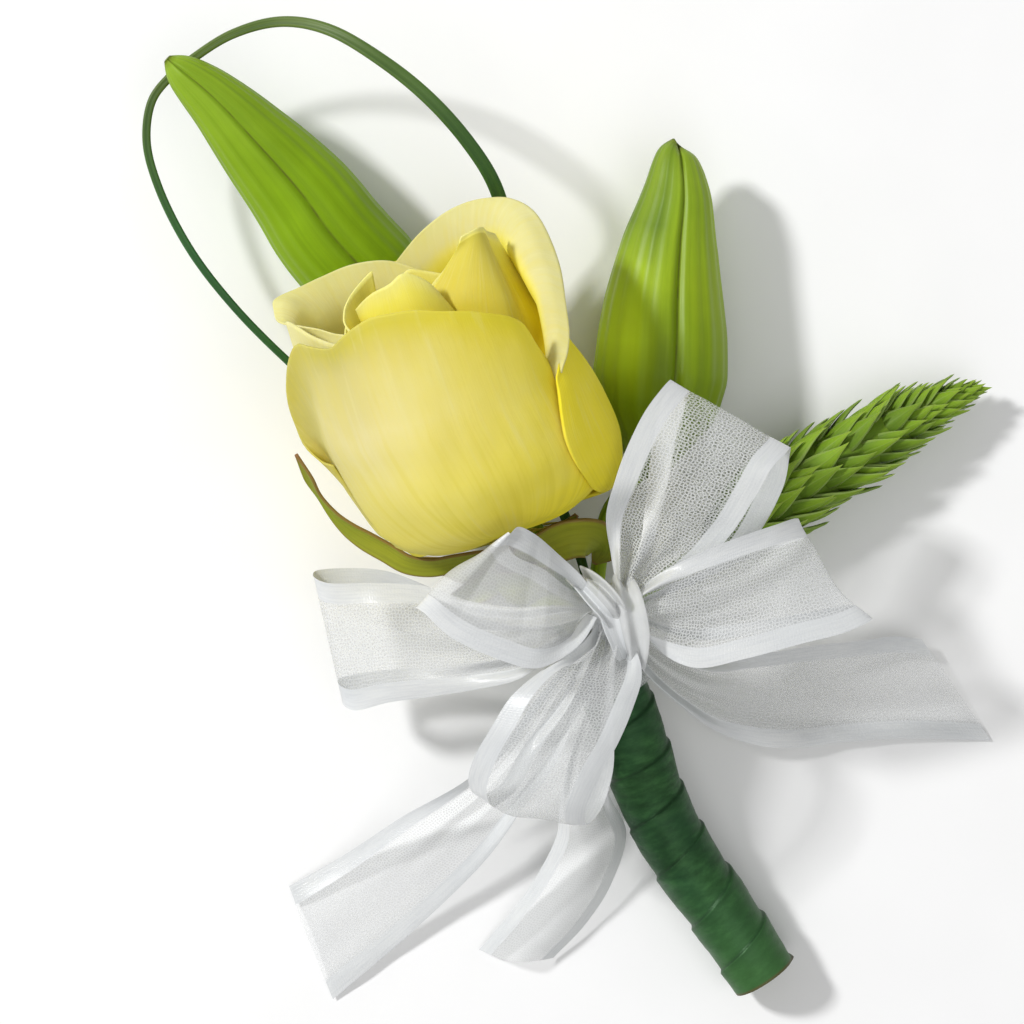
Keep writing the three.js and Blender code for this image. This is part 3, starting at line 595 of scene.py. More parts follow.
WALLS = [
    [(5, 3), (5.3, 10), (6.5, 15.5), (9, 18.5), (12, 20.5), (17, 21.6), (23, 22.1), (29, 22.4), (40, 23),
     (52, 21.5), (58, 21)],
    [(8, 3), (9, 8.5), (11, 13), (13.2, 17.5), (17, 21.5), (22, 24), (30, 25.3), (40, 25.3), (50, 24.6),
     (58, 24.6)],
    [(7, 3), (7.6, 13), (8.5, 17), (10.7, 20.5), (14.5, 23.4), (19, 25.2), (25, 25.8), (31, 25.4),
     (38, 24.6), (46, 24), (58, 24)],
    [(5, 3), (5.5, 12), (8, 18), (14, 20.3), (25, 21), (40, 21), (58, 20.5)],
]


def wall(azimuth, height):
    """Radius of the outermost full layer. WALLS lists its (height, radius) at the left, front, right and
    back."""
    place = (azimuth / 90 + 1) % 4
    low = int(place)
    share = float(smooth(place - low))
    return (1 - share) * ramp(WALLS[low], height) + share * ramp(WALLS[(low + 1) % 4], height)


def cup_stations(middle, rim, inset=0.0):
    """Stations of a petal that stands in the cup. rim lists (azimuth, crest radius, crest height, rim
    radius, rim height). From root to crest the petal follows the wall, then it turns towards its rim."""
    stations = []
    for azimuth, crest, crest_height, rim_radius, rim_height in rim:
        points = []
        for share, height in ((0.45, 9), (0.7, 10.5), (0.9, 14)):
            turned = middle + share * (azimuth - middle)
            points.append((turned, wall(turned, height) - inset, height))
        spare = crest - wall(azimuth, crest_height)
        for share in (0.25, 0.5, 0.75):
            height = 14 + share * (crest_height - 14)
            points.append((azimuth, wall(azimuth, height) - inset + (spare + inset) * share**2, height))
        points.append((azimuth, crest, crest_height))
        over = (crest + rim_radius) / 2, (crest_height + rim_height) / 2 + 0.22 * abs(rim_radius - crest)
        points.append((azimuth, *over))
        points.append((azimuth, rim_radius, rim_height))
        stations.append(points)
    return stations


FRONT_PETAL = cup_stations(-12, [
    (-72, 22.6, 25, 23.0, 30.5), (-79, 22.6, 26, 24.2, 31.5), (-84, 22.6, 28, 25.2, 34.5),
    (-84, 22.4, 31, 25.3, 39.5), (-79, 22.2, 34, 25.1, 44), (-72, 22.3, 38, 24.6, 48.2),
    (-64, 22.8, 42, 24.2, 52), (-55, 23.6, 47, 24, 54.8), (-45, 24.3, 49, 24.4, 54.5),
    (-36, 24.5, 49, 24.4, 54), (-31, 24.6, 49.5, 24.3, 55.1), (-25, 24.7, 50, 24.2, 56.4),
    (-16, 24.9, 51, 24.3, 57.6), (-7, 25, 51, 24.4, 57.4), (2, 25, 50, 24.5, 56.7),
    (11, 25, 49, 24.5, 55), (20.5, 25.1, 47, 24.5, 53.3), (30, 25.2, 45, 24.5, 51),
    (39.5, 25.2, 42.5, 24.3, 48.4), (46, 25, 39, 23.8, 45.5), (50.5, 24.7, 35, 23.4, 41),
    (56, 24.4, 30, 23.4, 36), (63, 24, 25, 23.2, 30), (68, 23, 20, 22.4, 24)])
RIGHT_PETAL = [
    [(74, 10, 8.5), (64, 18.8, 10.3), (47.6, 21.7, 14), (38.6, 25.1, 20.8), (37.4, 26.4, 25.7),
     (40, 26.9, 30), (43.2, 27, 33.2), (46.5, 26.7, 35.9)],
    [(78, 10, 8), (70, 18.6, 9.5), (57, 22.7, 13), (49, 25.7, 20), (48, 26.8, 26), (50, 27, 31),
     (53, 26.7, 35), (56, 25.8, 38.2)],
    [(84, 10, 8), (80, 18, 8.8), (72, 22.4, 12), (68, 25.7, 19), (67, 26.2, 25.5), (68, 26, 31),
     (70, 25.2, 35.5), (72, 24.4, 39.6)],
    [(90, 10, 7.5), (90, 17.3, 8.3), (90, 20.2, 10.7), (90, 24.3, 18.5), (90, 25.1, 25), (90, 24.8, 31),
     (90, 23.9, 35.5), (90, 22.8, 39.5)],
    [(98, 10, 7), (104, 17.4, 8), (110, 20.4, 10.5), (112, 23.9, 18), (113, 24.9, 25), (114, 24.7, 31),
     (114, 23.7, 35.5), (114, 22.4, 39.5)],
    [(104, 10, 7), (114, 17, 8), (124, 20.6, 11), (128, 23.2, 18), (130, 23.8, 25), (131, 23.6, 30),
     (131, 22.9, 34), (131, 22, 37)],
]
BACK_PETAL = cup_stations(178, [
    (110, 20.5, 40, 20, 44), (130, 20.8, 42, 21.5, 50), (155, 20.8, 44, 22.5, 53.5),
    (180, 20.8, 44, 22.8, 54.5), (205, 20.8, 44, 22.5, 54), (230, 20.8, 42, 21.8, 51),
    (248, 20.8, 40, 20.8, 46)], 0.2)
LEFT_OUTER_PETAL = cup_stations(-100, [
    (-38, 22.2, 40, 21.6, 53.4), (-50, 21.8, 42, 21.4, 55), (-64, 21.2, 43, 21, 56.6),
    (-78, 21, 44, 20.6, 56.4), (-92, 21, 44, 20.6, 54.5), (-108, 21, 43, 20.6, 52.5),
    (-128, 21, 42, 20.6, 50.5), (-150, 20.6, 40, 20.3, 48)], 0.9)
TALL_PETAL = cup_stations(118, [
    (48, 22.3, 26, 22.5, 27), (50, 23.2, 33.5, 26.9, 36.2), (56, 23.0, 37.5, 27.1, 38.0),
    (62, 22.8, 41.5, 27.2, 40.6), (68, 22.6, 47, 27.2, 45.4), (76, 21, 51, 27.1, 50.0),
    (86, 19.8, 53.8, 26.4, 55.1), (97, 19.3, 55, 25.6, 58.4), (110, 19.2, 55.5, 24.0, 60.6),
    (124, 19.2, 55.2, 22.6, 61.3), (138, 19.4, 54.6, 22.2, 61.2), (150, 19.6, 53.6, 22.0, 60.4),
    (165, 19.8, 51.5, 22.0, 58.1), (176, 20, 49.5, 22.0, 55.4), (195, 20.2, 46, 22.0, 50)], 1.2)
LEFT_PETAL = cup_stations(-120, [
    (-52, 14.5, 46, 13.2, 51.5), (-62, 15.2, 48.5, 14.7, 52.2), (-75, 16.2, 50.2, 16.4, 53.4),
    (-86, 17.6, 51.6, 18.9, 54.2), (-98, 19.6, 52.6, 22.3, 55), (-106, 19.8, 53.6, 23.1, 56.2),
    (-113, 19.6, 54.2, 23.6, 57.2), (-128, 18.4, 51.5, 21.7, 57.2), (-143, 18.4, 51.5, 20.7, 57.3),
    (-160, 18.2, 51.5, 19.6, 57.3), (-176, 17.8, 50.6, 18.9, 56), (-190, 17.2, 48, 17.6, 53.2),
    (-205, 16.6, 45, 16.6, 49.5)], 2)
SMALL_LEFT_PETAL = cup_stations(-70, [
    (-36, 14.6, 44, 15.4, 51.0), (-50, 13.2, 46, 14.4, 53.8), (-60, 11.6, 47, 12.2, 55.2),
    (-72, 9.6, 48, 9.8, 56.1), (-90, 7.4, 49, 6.7, 57.2), (-112, 5.6, 50, 4.2, 58.3)], 6)
FOLDED_PETAL = [
    [(40, 2, 30), (36, 3, 42), (35, 4.7, 50.4), (46, 8.8, 55), (57, 12.6, 59), (58, 14.4, 61.2)],
    [(46, 8, 28), (42, 10, 40), (42, 12, 49), (52, 14, 55.5), (62, 15.6, 59.8), (65, 16.2, 61.4)],
    [(54, 14, 26), (54, 17, 38), (56, 18.2, 47), (62, 17.4, 54), (68, 16.8, 58.9), (72, 16.8, 60.9)],
    [(60, 19, 24), (66, 19.6, 36), (72, 18.8, 44.5), (78, 17.4, 51), (80, 16.6, 56), (78, 16.9, 59.6)],
    [(66, 22.8, 24), (72, 22.6, 34), (80, 21.6, 42), (88, 20, 48), (92, 18.6, 53), (86, 17.8, 58)],
]
MIDDLE_PETAL = [
    [(-58, 3, 30), (-62, 6, 42), (-60, 9, 50), (-54, 10.6, 55)],
    [(-34, 4, 30), (-36, 9, 42), (-32, 11.4, 51), (-28, 11, 57.6)],
    [(-12, 5, 30), (-12, 10, 42), (-11, 12, 51), (-9, 10.9, 58.5)],
    [(4, 5, 30), (4, 10.5, 42), (3, 12.2, 52), (3, 10.7, 59.4)],
    [(14, 5, 30), (14, 10.5, 42), (14, 12.2, 51), (13, 10.8, 58.6)],
    [(26, 5, 30), (26, 10, 40), (25, 12, 49), (23, 11, 56.6)],
    [(48, 4, 30), (46, 9, 40), (40, 11.5, 47), (30, 11, 54)],
]
CORE = [[0.4, 8], [10, 10], [15, 14], [16, 24], [13, 36], [8, 44], [3, 48]]
PETAL_THICKNESS = 0.6
RIM_THICKNESS = 0.3
VEIN_SHIFT = 3.37  # keeps the veins of any two petals apart
INNER_PETALS = [
    dict(azimuth=172, profile=[[4, 12], [13, 22], [16.5, 36], [15, 48], [14.5, 54]], spread=[50, 60, 60, 50],
         rim=[(-1, 6), (0, 0), (1, 6)]),
    dict(azimuth=-150, profile=[[3, 20], [10, 30], [13, 42], [12.5, 53]], spread=[50, 60, 56],
         rim=[(-1, 5), (0, 0), (1, 5)]),
    dict(azimuth=120, profile=[[3, 20], [9, 30], [11.5, 44], [9.5, 54]], spread=[60, 64, 50],
         rim=[(-1, 5), (0, 0), (1, 5)]),
    dict(azimuth=-40, profile=[[3, 20], [6, 32], [7, 44], [6.5, 54.5]], spread=[60, 64, 56],
         rim=[(-1, 4), (0, 0), (1, 4)]),
    dict(azimuth=30, profile=[[2, 30], [5, 40], [4, 55]], spread=[70, 70], rim=[(-1, 3), (0, 0), (1, 3)]),
    dict(azimuth=200, profile=[[2, 30], [5, 40], [4, 54]], spread=[70, 70], rim=[(-1, 3), (0, 0), (1, 3)]),
]


def grid(columns, rows):
    return np.meshgrid(steps(columns + 1), steps(rows + 1), indexing="ij")


def make_bloom():
    """The petals in their layers round a core that fills the middle of the bloom."""
    bloom = Piece()
    outer, inner = grid(80, 56), grid(44, 36)
    u, v = outer
    lobe = smooth((0.36 - u) / 0.2) * smooth((v - 0.35) / 0.25)
    rolled = smooth((v - 0.7) / 0.12)
    right_half = smooth((inner[0] - 0.55) / 0.3)
    pale_rim = smooth((inner[1] - 0.88) / 0.1)
    sheets = [
        # The front petal's left lobe: darker and greener, partly its own tint and partly painted shade.
        (patch_points(FRONT_PETAL, u, v), outer, 0.3 - 0.22 * lobe),
        # The right petal: painted shade.
        (patch_points(RIGHT_PETAL, u, v), outer, 0.08),
        (patch_points(BACK_PETAL, u, v), outer, 0.3),
        # Its rim is pale, and a little paler where the left petal's lip shades it: painted light.
        (patch_points(LEFT_OUTER_PETAL, u, v), outer, np.where(v > 0.72, 1.1, 0.3)),
        (patch_points(TALL_PETAL, u, v), outer, 0.6 + 0.4 * rolled),
        # The left petal's inside: palest, painted light that lifts the shade in its pocket.
        (patch_points(LEFT_PETAL, u, v), outer, 1.4 - 0.25 * rolled),
        (patch_points(SMALL_LEFT_PETAL, *inner), inner, 0.62),
        # The folded petal: painted shade on its left part, deep yellow on its right, pale at the rim.
        (patch_points(FOLDED_PETAL, *inner), inner, 0.5 + 0.1 * right_half + 0.3 * pale_rim),
        (patch_points(MIDDLE_PETAL, *inner), inner, 0.66),
    ]
    sheets += [(petal_points(p, *inner), inner, 0.6) for p in INNER_PETALS]
    for i, (points, (u, v), tone) in enumerate(sheets):
        points = points + 0.12 * ripples(points, 8, 60 + i)[..., None] * rose_front
        thickness = PETAL_THICKNESS - (PETAL_THICKNESS - RIM_THICKNESS) * smooth((v - 0.8) / 0.2)
        bloom.slab(points, np.stack([u + VEIN_SHIFT * i, v], -1), thickness, tone)
    core = Curve(CORE)(steps(24))
    azimuth, radius = np.meshgrid(np.linspace(0, 360, 48, endpoint=False), core[:, 0])
    height = np.broadcast_to(core[:, 1:2], azimuth.shape)
    bloom.tube(in_rose(azimuth, radius, height), tone=0.6)
    return bloom.build("rose_petals", petal_material(), "rose_bloom")


def blade_points(points, widths, turn, stations, fold, curl=0.0):
    """The middle surface of a leafy blade. widths are half widths, turn twists it in degrees, fold is how
    far its sides rise and curl how far they wave."""
    t, across = np.meshgrid(steps(stations), np.linspace(-1, 1, 13), indexing="ij")
    point, _, side, up = frame_at(Curve(points), steps(stations))
    twist = math.radians(turn)
    half = soft_ramp(widths, t, 0.04)
    a = across * half
    b = fold * half * across**2 + curl * np.sin(9 * t) * across
    sideways, upwards = a * math.cos(twist) - b * math.sin(twist), a * math.sin(twist) + b * math.cos(twist)
    place = point[:, None] + side[:, None] * sideways[..., None] + up[:, None] * upwards[..., None]
    return place, np.stack([across / 2 + 0.5, t], -1)


ROSE_STEM_RADIUS = 2.1
LONG_SEPAL = [[0, -8, 18.5], [-5, -8.2, 20], [-10, -8.8, 21], [-14.2, -9.5, 21.8], [-18.3, -8.9, 22.3],
              [-21.8, -6.9, 22.8], [-25.3, -4.9, 23.5], [-28.1, -3.1, 24.3], [-30.7, -0.8, 25.2],
              [-33.6, 3.0, 26.8], [-35.3, 6.1, 28], [-37.4, 10.0, 29]]
LONG_WIDTHS = [(0, 2.4), (0.2, 2.0), (0.36, 2.0), (0.55, 1.9), (0.64, 1.55), (0.73, 1.05), (0.81, 0.5),
               (0.9, 1.1), (0.96, 0.6), (1, 0.2)]
FOLDED_SEPAL = [[0.5, -9.5, 19], [5.5, -6.5, 25.5], [10, -4.5, 28], [14, -4.5, 26.5], [16, -6.5, 23],
                [14.5, -9, 20.5]]
FOLDED_WIDTHS = [(0, 2.4), (0.35, 3.6), (0.6, 3.8), (0.85, 2.2), (1, 0.4)]
UNDER_SEPALS = [
    [[-1.5, -11, 16], [-6, -14, 13], [-10, -15.8, 10.5], [-13, -18.5, 9.5]],
    [[-2, -10, 15], [-8, -10.5, 12], [-13, -9.5, 10.5], [-17.5, -8.5, 10.5]],
    [[0.5, -8.5, 16], [5.5, -6, 14.5], [9, -3.5, 14], [11.5, -0.5, 14.5]],
]
UNDER_WIDTHS = [(0, 2.6), (0.3, 2.4), (0.6, 1.5), (0.85, 0.9), (1, 0.3)]
HIP = [(0, 1.6), (0.3, 4.4), (0.6, 5.4), (1, 4.6)]  # (share of its height, radius)
HIP_BOTTOM = -9
HIP_HEIGHT = 9.25


def calyx_material():
    """Tone is 1 where the rim of a blade is brown."""
    s = green_material("rose_green", [
        (0.0, (0.26, 0.29, 0.014)), (0.5, (0.36, 0.38, 0.026)), (0.8, (0.30, 0.36, 0.028)),
        (0.96, (0.24, 0.24, 0.022)), (1.0, (0.26, 0.07, 0.04)),
    ], 9, 0.35, 0.5, (0.13, 0.15, 0.010))
    _, across, _ = s.flat()
    from_middle = s.times(s.math("ABSOLUTE", s.minus(across, 0.5)), 2.0)
    rim = s.levels(from_middle, [(0.86, 0.0), (0.99, 0.8)])
    s.paint((0.24, 0.13, 0.045), rim, s.tone())
    return s.material


def make_calyx():
    calyx = Piece()
    stem = Curve(inside_handle(0, 2.9) + [[9, -17.5, 20.5], [4, -15, 19.5], [0.5, -11.8, 18.8]])
    calyx.tube(sweep(stem, steps(90), 24, round_section(ROSE_STEM_RADIUS)), tone=0)
    share = steps(20)
    azimuth, radius = np.meshgrid(np.linspace(0, 360, 40, endpoint=False), soft_ramp(HIP, share))
    height = np.broadcast_to((HIP_BOTTOM + HIP_HEIGHT * share)[:, None], azimuth.shape)
    calyx.tube(in_rose(azimuth, radius, height), tone=0)
    calyx.slab(*blade_points(LONG_SEPAL, LONG_WIDTHS, 35, 90, 0.3, 0.25), 0.55, 1)
    calyx.slab(*blade_points(FOLDED_SEPAL, FOLDED_WIDTHS, -20, 70, 0.25, 0.5), 0.6, 1)
    for points in UNDER_SEPALS:
        calyx.slab(*blade_points(points, UNDER_WIDTHS, 0, 40, 0.3), 0.6, 1)
    return calyx.build("rose_calyx", calyx_material(), "rose_calyx_and_stem")


# ---- lily buds ----
BUD_STALK_RADIUS = 1.4
BUD_STATIONS = 150
BUD_SIDES = 144
LEFT_STALK = inside_handle(-3.4, -1.4) + [
    [10, -14.5, 11.5], [4, -2.5, 6.4], [-2, 7, 2.4], [-7.5, 16, 1.1], [-14, 30, 3]]
RIGHT_STALK = inside_handle(3.4, -1.2) + [
    [15.2, -15.5, 16], [15.5, -8.5, 15], [17, -0.5, 13.4], [20, 4, 12.2], [24, 8.5, 11.7]]
LEFT_AXIS = [[-13.5, 29, 2.6], [-18, 35, 5], [-24.5, 41, 9.2], [-31.5, 48.5, 11.8], [-37.5, 56.5, 14],
             [-45, 64.9, 17.2], [-52, 72.2, 20.4], [-60.3, 79.2, 23.5]]
LEFT_WIDTHS = [(0, 1.7), (0.08, 3.6), (0.2, 8.4), (0.31, 10.1), (0.42, 10), (0.5, 9.8), (0.57, 9.25),
               (0.68, 7.9), (0.8, 6.2), (0.9, 4.6), (0.95, 3.5), (0.98, 2.4), (1, 0.7)]
RIGHT_AXIS = [[24.5, 6, 11.6], [25.5, 15.5, 11.7], [26.5, 25.5, 11.8], [27.1, 37.5, 12.4], [28, 47, 13.2],
              [29.1, 55.5, 14.2], [29.3, 65.4, 15.5]]
RIGHT_WIDTHS = [(0, 2), (0.08, 5.5), (0.2, 10.6), (0.31, 12), (0.42, 11.5), (0.53, 10.3), (0.69, 8.4),
                (0.845, 6.3), (0.93, 4.6), (0.97, 3.5), (0.99, 2.5), (1, 0.8)]


def make_bud(name, stalk, axis, widths, turn, groove, material, node, notch=0.0):
    """A closed bud of three outer tepals, on its stalk. widths are its radii, turn is the angle of a seam,
    and groove the depth of the seams, as a share of the radius. notch is how far the tepal left of the
    seam stands past the one on its right, at the tip."""
    bud = Piece()

    def section(t, angle):
        third = 1.5 * (angle - turn)
        lobe = np.abs(np.sin(third))
        seam = groove * (1 - smooth(lobe / 0.22)) * (1 + 2 * smooth((t - 0.9) / 0.1))
        overlap = 0.02 * np.sign(np.sin(third) * np.cos(third)) * (1 - smooth(lobe / 0.5))
        ribs = 0.012 * np.cos(21 * (angle - turn)) * smooth(lobe)
        sideways, upwards = ring(soft_ramp(widths, t, 0.03) * (1 - seam + overlap + ribs), angle)
        return sideways, upwards * np.where(upwards < 0, 0.97, 1.0)

    bud.tube(sweep(Curve(stalk), steps(110), 16, round_section(BUD_STALK_RADIUS)), tone=0)
    line = Curve(axis)
    stations = steps(BUD_STATIONS)
    rings = sweep(line, stations, BUD_SIDES, section)
    t, angle = around(stations, BUD_SIDES)
    tip = smooth((t - 0.86) / 0.14)
    past = -0.5 * notch * (np.cos(angle) + np.exp(-(((angle - turn) / 0.3) ** 2))) * tip
    _, tangent, _, _ = frame_at(line, stations)
    rings = rings + tangent[:, None] * past[..., None]
    bud.tube(rings, np.stack([(angle - turn) / FULL_TURN + 0.25, t], -1), 1)
    return bud.build(name, material, node)


# ---- grass blade ----
GRASS = inside_handle(-4.2, 1.4) + [
    [5.5, -16.5, 12.5], [-3, -5, 7], [-15, 6.5, 3], [-29, 17.5, 5.5], [-39, 26, 11], [-49.2, 36.3, 14.5],
    [-57, 46.5, 16], [-62.5, 57.5, 17], [-64.5, 65.5, 17.5], [-63.5, 72.5, 18], [-60.5, 76.5, 18.3],
    [-56.5, 79.5, 19.5], [-49, 83.5, 23], [-40, 85, 28], [-31.5, 83, 32], [-21.8, 77.1, 34],
    [-14.2, 71, 33], [-7.7, 64.1, 29], [-3.1, 57.2, 24], [0, 46.5, 14], [2, 36, 8], [3.5, 22, 3.6],
    [6.5, 7.5, 4.2], [12.5, -9, 10.5],
] + inside_handle(0.4, -0.6)[::-1]
GRASS_WIDTHS = [(0, 0.55), (0.3, 0.7), (0.5, 0.8), (0.62, 1.2), (0.75, 1.3), (0.84, 0.8), (1, 0.55)]


def make_grass():
    """One long blade, channelled along its upper face."""
    grass = Piece()

    def section(t, angle):
        half = soft_ramp(GRASS_WIDTHS, t, 0.03)
        groove = 0.22 * np.exp(-((np.cos(angle) / 0.3) ** 2)) * np.where(np.sin(angle) > 0, 1, -0.6)
        return half * np.cos(angle), 0.42 * np.sin(angle) - groove * half

    grass.tube(sweep(Curve(GRASS), steps(640), 20, section))
    s = green_material("grass_green", [
        (0.0, (0.05, 0.13, 0.03)), (0.34, (0.035, 0.13, 0.035)), (0.44, (0.10, 0.15, 0.02)),
        (0.56, (0.13, 0.19, 0.04)), (0.66, (0.07, 0.16, 0.035)), (0.8, (0.045, 0.12, 0.03)),
    ], 8, 0.5, 0.42, (0.015, 0.05, 0.015))
    return grass.build("grass_loop", s.material, "grass_blade")


# ---- ornithogalum spike ----
SPIKE_AXIS = [[36, -5.5, 9.4], [41.5, -1.5, 9.2], [51.5, 5.5, 9], [65.5, 13.5, 8.6], [75.2, 18.7, 7.8],
              [82.6, 21.8, 7]]
SPIKE_CORE = [(0, 2), (0.1, 5.6), (0.25, 6.9), (0.45, 6.4), (0.65, 4.8), (0.85, 2.4), (1, 0.7)]
BRACTS = 190
BRACT_LENGTH = 11.5
BRACT_HALF_WIDTH = 2.35
BRACT_THICKNESS = 0.45
BRACT_SIZES = [(0, 1.0), (0.5, 0.92), (0.85, 0.6), (1, 0.42)]  # (share of the spike, size)


def spike_material():
    """Bract green, darker towards the root, with a pale rim and keel. Tone 0 is a bract in shade."""
    s = Shader("spike_green")
    uv, across, along = s.flat()
    s.colour = s.colours(along, [
        (0.0, (0.05, 0.09, 0.006)), (0.35, (0.13, 0.23, 0.012)), (0.7, (0.22, 0.36, 0.020)),
        (1.0, (0.30, 0.42, 0.05)),
    ])
    side = s.math("ABSOLUTE", s.minus(across, 0.5))
    rim = s.levels(side, [(0.36, 0.0), (0.5, 0.75)])
    s.paint((0.34, 0.45, 0.14), rim)
    keel = s.levels(side, [(0.0, 0.5), (0.06, 0.0)])
    s.paint((0.26, 0.38, 0.07), keel)
    s.paint((0.05, 0.10, 0.012), s.levels(s.tone(), [(0.0, 0.55), (0.5, 0.0)]))
    lines = s.noise(s.scaled(uv, 14, 1.5), 1.0, 3.0)
    s.paint((0.06, 0.11, 0.012), s.levels(lines, [(0.35, 0.3), (0.5, 0.0)]))
    s.rough(lines, 0.45, 0.58)
    s.soft(0.15, 0.001, (0.5, 1.0, 0.1))
    s.set(Specular_IOR_Level=0.15)
    s.bump(lines, 0.25, 0.0003)
    return s.material


def make_spike():
    spike = Piece()
    stem = Curve(inside_handle(0.3, -3.6) + [[20, -18, 12], [27.5, -11.5, 10.2], [36, -5.5, 9.9]])
    spike.tube(sweep(stem, steps(80), 16, round_section(BUD_STALK_RADIUS)), tone=0.3)
    axis = Curve(SPIKE_AXIS)
    core = sweep(axis, steps(40), 32, lambda t, angle: ring(0.9 * ramp(SPIKE_CORE, t), angle))
    spike.tube(core, tone=0.1)
    rng = np.random.default_rng(5)
    b, a = np.meshgrid(steps(15), np.linspace(-1, 1, 9), indexing="ij")
    outline = np.sin(math.pi * (0.12 + 0.88 * b) ** 0.7) ** 0.75 * (1 - b**3)
    half = BRACT_HALF_WIDTH * outline
    cupped = -1.2 + 3.0 * np.sin(math.pi * np.minimum(b * 0.6 + 0.02, 0.5))
    cupped = cupped - 0.9 * np.abs(a) ** 1.5 * outline
    forward = -3 + BRACT_LENGTH * b
    for i in range(BRACTS):
        t = 0.03 + 0.95 * (i / (BRACTS - 1)) ** 0.95
        size = ramp(BRACT_SIZES, t) * rng.uniform(0.82, 1.15)
        turn = i * GOLDEN_ANGLE + rng.uniform(-0.25, 0.25)
        point, tangent, side, up = frame_at(axis, t)
        outward = side * math.cos(turn) + up * math.sin(turn)
        sideways = np.cross(tangent, outward)
        lean = rng.uniform(-1.2, 1.2)
        splay = rng.uniform(0.1, 0.8) * (1 - 0.6 * t)
        out = cupped + splay * b**2 * 1.9
        place = (
            point
            + tangent * (forward * size)[..., None]
            + outward * (ramp(SPIKE_CORE, t) - 0.9 + out * size)[..., None]
            + sideways * ((a * half + lean * b**2) * size)[..., None]
        )
        flat = np.stack([a / 2 + 0.5, b], -1)
        spike.slab(place, flat, BRACT_THICKNESS * size, rng.uniform(0.1, 1.0))
    return spike.build("ornithogalum_head", spike_material(), "ornithogalum_spike")


